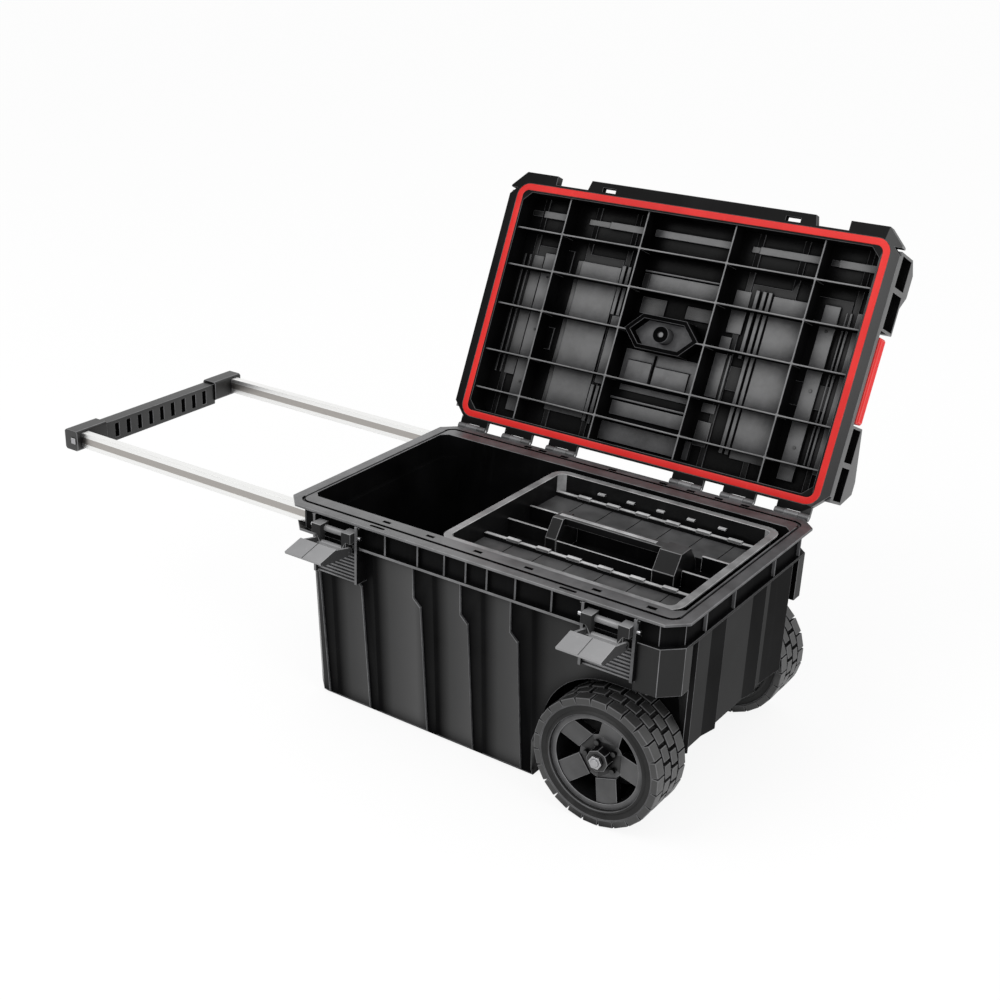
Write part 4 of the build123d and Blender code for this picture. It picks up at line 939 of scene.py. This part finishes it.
# Node, piece, body, slot, and the width of its rounded edges in metres
dressed = (
    ("tub_shell", "tubShell", "tub", "tub_plastic", 0.0007),
    ("hinge_pins", "hingePins", "tub", "pin_steel", 0.0003),
    ("axle", "wheelAxle", "tub", "pin_steel", 0.0003),
    ("axle_washers", "axleWashers", "tub", "pin_steel", 0.0003),
    ("axle_nuts", "axleNuts", "tub", "pin_steel", 0.0004),
    ("claw_pin_left", "clawPinLeft", "tub", "pin_steel", 0.0003),
    ("claw_pin_right", "clawPinRight", "tub", "pin_steel", 0.0003),
    ("lid_shell", "lidShell", "lid", "lid_plastic", 0.0006),
    ("lid_gasket", "lidGasket", "lid", "gasket_rubber", 0.0012),
    ("side_strip_left", "sideStripLeft", "lid", "strip_plastic", 0.0008),
    ("side_strip_right", "sideStripRight", "lid", "strip_plastic", 0.0008),
    ("latch_claw_left", "latchClawLeft", "claw_left", "latch_plastic", 0.0006),
    ("latch_claw_right", "latchClawRight", "claw_right", "latch_plastic", 0.0006),
    ("lever_pin_left", "leverPinLeft", "claw_left", "pin_steel", 0.0003),
    ("lever_pin_right", "leverPinRight", "claw_right", "pin_steel", 0.0003),
    ("latch_lever_left", "latchLeverLeft", "lever_left", "latch_plastic", 0.0006),
    ("latch_lever_right", "latchLeverRight", "lever_right", "latch_plastic", 0.0006),
    ("handle_rod_front", "handleRodFront", "pull_handle", "rod_aluminium", 0.0004),
    ("handle_rod_back", "handleRodBack", "pull_handle", "rod_aluminium", 0.0004),
    ("rod_stop_front", "rodStopFront", "pull_handle", "grip_plastic", 0.0004),
    ("rod_stop_back", "rodStopBack", "pull_handle", "grip_plastic", 0.0004),
    ("handle_grip", "handleGrip", "pull_handle", "grip_plastic", 0.0008),
    ("grip_rivets", "gripRivets", "pull_handle", "pin_steel", 0.0005),
    ("wheel_rim_front", "wheelRimFront", "wheel_front", "rim_plastic", 0.0006),
    ("wheel_rim_back", "wheelRimBack", "wheel_back", "rim_plastic", 0.0006),
    ("tray_shell", "trayShell", "tray", "tray_plastic", 0.0006),
    ("tray_handle", "trayHandle", "tray", "tray_plastic", 0.0008),
)
for nodeName, name, body, slotName, width in dressed:
    dressNode(nodeName, name, body, slotName, width)


# The faces around some vertices, each once and always in the same order.
def facesAround(verts):
    return list(dict.fromkeys(face for vert in verts for face in vert.link_faces))


# Adds a box between two corners, in metres, and gives back its vertices.
def addBlock(bm, low, high):
    middle = (Vector(low) + Vector(high)) / 2
    size = Vector(high) - Vector(low)
    matrix = Matrix.Translation(middle) @ Matrix.Diagonal((*size, 1))
    return bmesh.ops.create_cube(bm, size=1, matrix=matrix)["verts"]


# Adds a round peg about its middle, in metres, and gives back its faces.
def addPeg(bm, middle, radius, length, segments):
    made = bmesh.ops.create_cone(
        bm, cap_ends=True, segments=segments, radius1=radius, radius2=radius, depth=length,
        matrix=Matrix.Translation(middle),
    )
    return facesAround(made["verts"])


# Tyres: a round core with rows of blocks. Depths go inwards from the outer face, and
# the side's outline is given from the bead and from the core's radius.
tyreShape = {
    "face": 0.2248,
    "width": 0.0756,
    "bead": 0.070,
    "beadOutline": (
        (0.0008, 0.0), (0.0, 0.0015), (0.0004, 0.0035), (0.0024, 0.0055),
        (0.0028, 0.0105), (0.0010, 0.0135),
    ),
    "coreRadius": 0.0885,
    "coreOutline": ((0.0022, -0.0022), (0.0060, 0.0)),
    "steps": 96,
    "blockTop": 0.0937,
    "blockCount": 24,
    "rounding": 0.0011,
    "sharpTurn": 50,
    "smoothTurn": 40,
    # Painted shade on the tyre's sidewalls, within this reach of the axle
    "sideRadius": 0.0868,
    "sideShade": 0.7,
    "rows": (
        {"start": 0.0004, "end": 0.018, "length": 0.0222, "shift": 0.0, "foot": 0.0835},
        {"start": 0.021, "end": 0.036, "length": 0.0190, "shift": 0.5, "foot": 0.0875},
        {"start": 0.0396, "end": 0.0546, "length": 0.0190, "shift": 0.0, "foot": 0.0875},
        {"start": 0.0576, "end": 0.0752, "length": 0.0222, "shift": 0.5, "foot": 0.0835},
    ),
}


# The closed round core of a tyre, spun from its outline.
def addTyreCore(bm, centre, side):
    shape = tyreShape
    outline = [(depth, shape["bead"] + rise) for depth, rise in shape["beadOutline"]]
    outline += [(depth, shape["coreRadius"] + rise) for depth, rise in shape["coreOutline"]]
    ring = outline + [(shape["width"] - depth, radius) for depth, radius in reversed(outline)]
    verts = [
        bm.verts.new((centre.x, side * (shape["face"] - depth), centre.z + radius))
        for depth, radius in ring
    ]
    edges = [bm.edges.new(pair) for pair in zip(verts, verts[1:] + verts[:1])]
    bmesh.ops.spin(
        bm, geom=verts + edges, cent=centre, axis=(0, 1, 0), angle=2 * pi,
        steps=shape["steps"], use_merge=True,
    )


# One row of a tyre's blocks, each made at the top and turned into its place.
def addTreadRow(bm, centre, side, row):
    shape = tyreShape
    for count in range(shape["blockCount"]):
        verts = addBlock(
            bm,
            (-row["length"] / 2, shape["face"] - row["end"], row["foot"]),
            (row["length"] / 2, shape["face"] - row["start"], shape["blockTop"]),
        )
        turn = 2 * pi * (count + row["shift"]) / shape["blockCount"]
        matrix = Matrix.Translation(centre) @ Matrix.Rotation(turn, 4, "Y")
        matrix = matrix @ Matrix.Diagonal((1, side, 1, 1))
        bmesh.ops.transform(bm, matrix=matrix, verts=verts)


# Side is -1 for the tyre at the front and 1 for the one at the back.
def makeTyre(name, nodeName, body, side):
    bm = bmesh.new()
    centre = Vector((wheelPlace["centreX"], 0, wheelPlace["centreZ"]))
    addTyreCore(bm, centre, side)
    for row in tyreShape["rows"]:
        addTreadRow(bm, centre, side, row)
    bmesh.ops.recalc_face_normals(bm, faces=bm.faces)
    bevelEdges(bm, tyreShape["rounding"], tyreShape["sharpTurn"])
    # Painted shade takes the sheen off the sidewalls
    dark = faceShares(bm, "paintedShadeShare")
    for face in bm.faces:
        onSide = reachFromAxle(face.calc_center_median()) < tyreShape["sideRadius"]
        if onSide and abs(face.normal.y) > 0.3:
            face[dark] = tyreShape["sideShade"]
    piece = finishPiece(bm, name, body, "tyre_rubber", tyreShape["smoothTurn"])
    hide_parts(nodeName)


makeTyre("tyreFront", "tyre_front", "wheel_front", -1)
makeTyre("tyreBack", "tyre_back", "wheel_back", 1)
print("tyres made")


# Raised panels, channels and ridges on the lid's inner skin, in millimetres of the
# closed lid: x from, x to, y from, y to, height, and the painted highlight on the top; a top of 0
# paints the block in shade
lidPanels = (
    (-252, -232, -94, 168, 6.0, 0.5),
    (-274, -255, -88, 110, 3.5, 0.22),
    (-283, -280, -88, 110, 3.5, 0.1),
    (-293, -290, -88, 110, 3.0, 0.1),
    (-191, -182.6, -92, 140, 2.6, 0.14),
    (-182, -111, -92, 152, 5.0, 0.42),
    (-108.5, -102.5, -96, -18, 7.5, 0.5),
    (-98.5, -93, -96, -18, 7.5, 0.5),
    (-104.5, -88, -17, 92, 6.0, 0.42),
    (-108.5, -102.5, 96, 156, 7.5, 0.4),
    (-98.5, -93, 96, 158, 7.5, 0.4),
    (-86, -82, -58, 78, 3.0, 0.2),
    (-58, 70, -92, -66, 5.0, 0.45),
    (-68, 70, -96.5, -94, 8.0, 0.45),
    (-70, -60, -92, -66, 2.6, 0.15),
    (-62, -20, -56, -30, 2.8, 0.2),
    (16, 66, -54, -34, 2.8, 0.2),
    (-66, 71, 28, 79.5, 3.2, 0.5),
    (-58.5, -15, 43, 79, 4.0, 0.0),
    (-56.5, -15, 45, 78.5, 6.5, 0.62),
    (-9, 52, 46, 79, 4.0, 0.0),
    (-9, 50, 48, 78.5, 6.5, 0.62),
    (-15, -9, 30, 79, 4.0, 0.0),
    (-60, 66, 84, 93, 4.0, 0.5),
    (-70, 70, 106, 109, 7.0, 0.4),
    (-66, 70, 112, 134, 5.0, 0.36),
    (-80, 84, 147, 176, 8.0, 0.5),
    (88, 112, -92, -27, 4.0, 0.26),
    (120, 125.5, -96, 8, 7.5, 0.5),
    (131, 136.5, -96, 152, 7.5, 0.45),
    (140.5, 146, -96, 152, 7.5, 0.45),
    (148.5, 205, -92, 156, 5.0, 0.46),
    (84, 101, -20, -2, 5.0, 0.45),
    (82, 101, 6, 74, 4.0, 0.4),
    (106, 109, 6, 78, 6.0, 0.4),
    (84, 106, 84, 98, 4.0, 0.36),
    (84, 106, 112, 150, 4.0, 0.2),
    (229, 253, -94, 168, 6.0, 0.46),
    (262, 264.5, -88, 140, 3.5, 0.15),
    (268.5, 272, -88, 140, 5.0, 0.3),
    (279, 290, -90, 150, 4.5, 0.36),
    (-298, -276, -160, -151, 2.4, 0.14),
    (-275, -218, -161, -150, 4.5, 0.42),
    (-190, -151.5, -160, -151, 2.6, 0.3),
    (-151, -78, -161, -150, 4.5, 0.46),
    (-70, 70, -161, -150, 4.5, 0.46),
    (94, 106.5, -160, -151, 2.6, 0.2),
    (107, 211, -161, -150, 4.5, 0.42),
    (219, 231, -160, -151, 2.6, 0.2),
    (231.5, 290, -161, -150, 4.5, 0.42),
)
# How far the panels sink into the skin, their rounding, and the painted highlight on their sides
# as a share of the one on top
panelShape = {
    "sink": 1.0,
    "rounding": 0.7,
    "sideShare": 0.3,
}
# The floor inside the six-sided frame and the peg in its boss, in the same measures
lidFrame = {
    "floor": ((54, 0), (34.4, 20.6), (-34.4, 20.6), (-54, 0), (-34.4, -20.6), (34.4, -20.6)),
    "floorHeight": 16.0,
    "floorHighlight": 0.95,
    "pegRadius": 4.0,
    "pegTop": 34.5,
    "pegLength": 20.0,
    "pegHighlight": 1.0,
    "pegSegments": 24,
}
# Pips on the panels near both ends: x, y, radius and height above the panel
lidPips = {
    "panelHeight": 6.0,
    "length": 3.0,
    "segments": 20,
    "places": (
        (-236.5, 30.6, 1.8, 1.2),
        (-238, -56, 1.8, 1.2),
        (-238, 118, 1.8, 1.2),
        (243, 33, 2.2, 1.2),
        (241, -56, 2.2, 1.2),
        (243, 118, 2.2, 1.2),
    ),
}


# A floor inside the lid's frame and a peg in the boss in its middle, both with a painted
# highlight.
def addLidFrame(bm, light):
    skin = lidPlace["skin"]
    corners = [bm.verts.new((x / 1000, y / 1000, skin)) for x, y in lidFrame["floor"]]
    base = bm.faces.new(corners)
    raised = bmesh.ops.extrude_face_region(bm, geom=[base], use_keep_orig=True)
    moved = [item for item in raised["geom"] if isinstance(item, bmesh.types.BMVert)]
    bmesh.ops.translate(bm, vec=(0, 0, -lidFrame["floorHeight"] / 1000), verts=moved)
    faces = facesAround(corners + moved)
    bmesh.ops.recalc_face_normals(bm, faces=faces)
    for face in faces:
        face[light] = lidFrame["floorHighlight"]
    length = lidFrame["pegLength"] / 1000
    middle = (0, 0, skin - lidFrame["pegTop"] / 1000 + length / 2)
    radius = lidFrame["pegRadius"] / 1000
    for face in addPeg(bm, middle, radius, length, lidFrame["pegSegments"]):
        face[light] = lidFrame["pegHighlight"]


def addLidPips(bm):
    length = lidPips["length"] / 1000
    for x, y, radius, height in lidPips["places"]:
        top = lidPlace["skin"] - (lidPips["panelHeight"] + height) / 1000
        middle = (x / 1000, y / 1000, top + length / 2)
        faces = addPeg(bm, middle, radius / 1000, length, lidPips["segments"])
        bmesh.ops.recalc_face_normals(bm, faces=faces)


def makeLidPanels():
    bm = bmesh.new()
    light = faceShares(bm, "paintedEdgeLightShare")
    dark = faceShares(bm, "paintedShadeShare")
    skin = lidPlace["skin"]
    for x0, x1, y0, y1, height, topHighlight in lidPanels:
        low = (x0 / 1000, y0 / 1000, skin - height / 1000)
        high = (x1 / 1000, y1 / 1000, skin + panelShape["sink"] / 1000)
        for face in facesAround(addBlock(bm, low, high)):
            # A painted highlight on the top and less on the sides; a block without one is painted
            # in shade
            onTop = face.normal.z < -0.5
            face[light] = topHighlight if onTop else topHighlight * panelShape["sideShare"]
            face[dark] = 0.0 if topHighlight else 1.0
    addLidFrame(bm, light)
    bevelEdges(bm, panelShape["rounding"] / 1000)
    addLidPips(bm)
    bmesh.ops.transform(bm, matrix=lidTurn, verts=bm.verts)
    finishPiece(bm, "lidPanels", "lid", "lid_plastic")


makeLidPanels()
print("lid panels made")


# Broad tops of the tray's two toothed ridges and of its handle's bar, with a painted highlight,
# in millimetres
trayRidges = {
    "start": -67.0,
    "end": 279.0,
    "places": (-57.0, 138.0),
    "width": 6.4,
    "low": 284.4,
    "top": 285.5,
    "toothTop": 288.0,
    "toothLength": 22.0,
    "toothPitch": 50.0,
    "toothCount": 6,
    "toothLip": 0.2,
    "toothSink": 1.0,
    "bar": (15.0, 171.0, 8.5, 15.5, 311.0, 312.8),
    "light": 1.0,
    "barHighlight": 0.9,
    "sideShare": 0.25,
    "rounding": 0.5,
}


# The boxes of one ridge, as x from, x to, y from, y to, z from and z to.
def ridgeBlocks(place):
    shape = trayRidges
    front = place - shape["width"] / 2
    back = place + shape["width"] / 2
    blocks = [(shape["start"], shape["end"], front, back, shape["low"], shape["top"])]
    middle = (shape["start"] + shape["end"]) / 2
    for count in range(shape["toothCount"]):
        centre = middle + (count - (shape["toothCount"] - 1) / 2) * shape["toothPitch"]
        blocks.append((
            centre - shape["toothLength"] / 2,
            centre + shape["toothLength"] / 2,
            front - shape["toothLip"],
            back + shape["toothLip"],
            shape["low"] - shape["toothSink"],
            shape["toothTop"],
        ))
    return blocks


def makeTrayRidges():
    shape = trayRidges
    bm = bmesh.new()
    light = faceShares(bm, "paintedEdgeLightShare")
    blocks = [(block, shape["light"]) for place in shape["places"] for block in ridgeBlocks(place)]
    blocks.append((shape["bar"], shape["barHighlight"]))
    for block, topHighlight in blocks:
        x0, x1, y0, y1, z0, z1 = (value / 1000 for value in block)
        for face in facesAround(addBlock(bm, (x0, y0, z0), (x1, y1, z1))):
            onTop = face.normal.z > 0.5
            face[light] = topHighlight if onTop else topHighlight * shape["sideShare"]
    bevelEdges(bm, shape["rounding"] / 1000)
    finishPiece(bm, "trayRidges", "tray", "tray_plastic")


makeTrayRidges()
print("tray ridges made")


# Floor, lights and camera

studio = {
    "floorSize": 60.0,
    "floorColor": (0.9, 0.9, 0.9),
    "floorRoughness": 0.9,
    "floorSpecular": 0.1,
    "floorGlow": 1.03,
    "floorGlowShare": 0.85,
    "worldStrength": 0.75,
    "lamps": (
        {
            "name": "keyLamp",
            "place": (-1.2, -2.2, 2.8),
            "aim": (0, 0, 0.25),
            "size": 2.2,
            "power": 42.0,
        },
        {
            "name": "sideLamp",
            "place": (2.6, -0.6, 1.6),
            "aim": (0.1, 0, 0.3),
            "size": 1.6,
            "power": 18.0,
        },
    ),
}


# A pale floor that glows to the camera and to reflections, and keeps the shadow.
def makeFloorMaterial():
    material, tree, shader = startMaterial("paleFloor")
    shader.inputs["Base Color"].default_value = (*studio["floorColor"], 1)
    shader.inputs["Roughness"].default_value = studio["floorRoughness"]
    shader.inputs["Specular IOR Level"].default_value = studio["floorSpecular"]
    glow = addNode(
        tree, "ShaderNodeEmission", {"Color": (1, 1, 1, 1), "Strength": studio["floorGlow"]},
    )
    rays = addNode(tree, "ShaderNodeLightPath").outputs
    seen = calculate(tree, "MAXIMUM", rays["Is Camera Ray"], rays["Is Glossy Ray"])
    blend = addNode(tree, "ShaderNodeMixShader")
    feed(tree, blend.inputs[0], calculate(tree, "MULTIPLY", seen, studio["floorGlowShare"]))
    feed(tree, blend.inputs[1], shader.outputs[0])
    feed(tree, blend.inputs[2], glow.outputs[0])
    feed(tree, tree.nodes["Material Output"].inputs["Surface"], blend.outputs[0])
    return material


def makeFloor():
    bm = bmesh.new()
    bmesh.ops.create_grid(bm, x_segments=1, y_segments=1, size=studio["floorSize"])
    mesh = bpy.data.meshes.new("studioFloor")
    bm.to_mesh(mesh)
    bm.free()
    mesh.materials.append(makeFloorMaterial())
    floor = bpy.data.objects.new("studioFloor", mesh)
    bpy.context.scene.collection.objects.link(floor)


# White to the camera and in reflections, and a little dimmer as a light.
def makeWorld():
    world = bpy.data.worlds.new("paleStudio")
    bpy.context.scene.world = world
    world.use_nodes = True
    tree = world.node_tree
    background = tree.nodes["Background"]
    background.inputs["Color"].default_value = (1, 1, 1, 1)
    rays = addNode(tree, "ShaderNodeLightPath").outputs
    seen = calculate(tree, "MAXIMUM", rays["Is Camera Ray"], rays["Is Glossy Ray"])
    seen = calculate(tree, "MAXIMUM", seen, rays["Is Transmission Ray"])
    strength = mapRange(tree, seen, 0.0, 1.0, studio["worldStrength"], 1.0)
    feed(tree, background.inputs["Strength"], strength)


def addLamp(settings):
    lamp = bpy.data.lights.new(settings["name"], "AREA")
    lamp.shape = "SQUARE"
    lamp.size = settings["size"]
    lamp.energy = settings["power"]
    holder = bpy.data.objects.new(settings["name"], lamp)
    place = Vector(settings["place"])
    holder.location = place
    holder.rotation_euler = (Vector(settings["aim"]) - place).to_track_quat("-Z", "Y").to_euler()
    bpy.context.scene.collection.objects.link(holder)


makeFloor()
makeWorld()
for settings in studio["lamps"]:
    addLamp(settings)

# Where the photograph was taken from: metres, degrees and millimetres of lens
viewpoint = {
    "place": (1.02296, -1.69745, 1.17681),
    "azimuth": 36.969,
    "elevation": 25.011,
    "roll": 0.686,
    "lens": 53.8,
    "sensor": 36,
    "shiftX": 0.0942,
    "shiftY": 0.0471,
    "nearest": 0.05,
    "farthest": 200,
}


def makeCamera():
    around = radians(viewpoint["azimuth"])
    down = radians(viewpoint["elevation"])
    turn = radians(viewpoint["roll"])
    forward = Vector((-sin(around) * cos(down), cos(around) * cos(down), -sin(down)))
    levelRight = Vector((cos(around), sin(around), 0))
    levelUp = levelRight.cross(forward)
    right = levelRight * cos(turn) + levelUp * sin(turn)
    up = levelUp * cos(turn) - levelRight * sin(turn)
    camera = bpy.data.cameras.new("photoCamera")
    camera.lens = viewpoint["lens"]
    camera.sensor_width = viewpoint["sensor"]
    camera.shift_x = viewpoint["shiftX"]
    camera.shift_y = viewpoint["shiftY"]
    camera.clip_start = viewpoint["nearest"]
    camera.clip_end = viewpoint["farthest"]
    holder = bpy.data.objects.new("photoCamera", camera)
    turned = Matrix((right, up, -forward)).transposed().to_4x4()
    holder.matrix_world = Matrix.Translation(viewpoint["place"]) @ turned
    bpy.context.scene.collection.objects.link(holder)
    bpy.context.scene.camera = holder


makeCamera()
bpy.context.scene.view_settings.view_transform = "Standard"
print("studio ready")
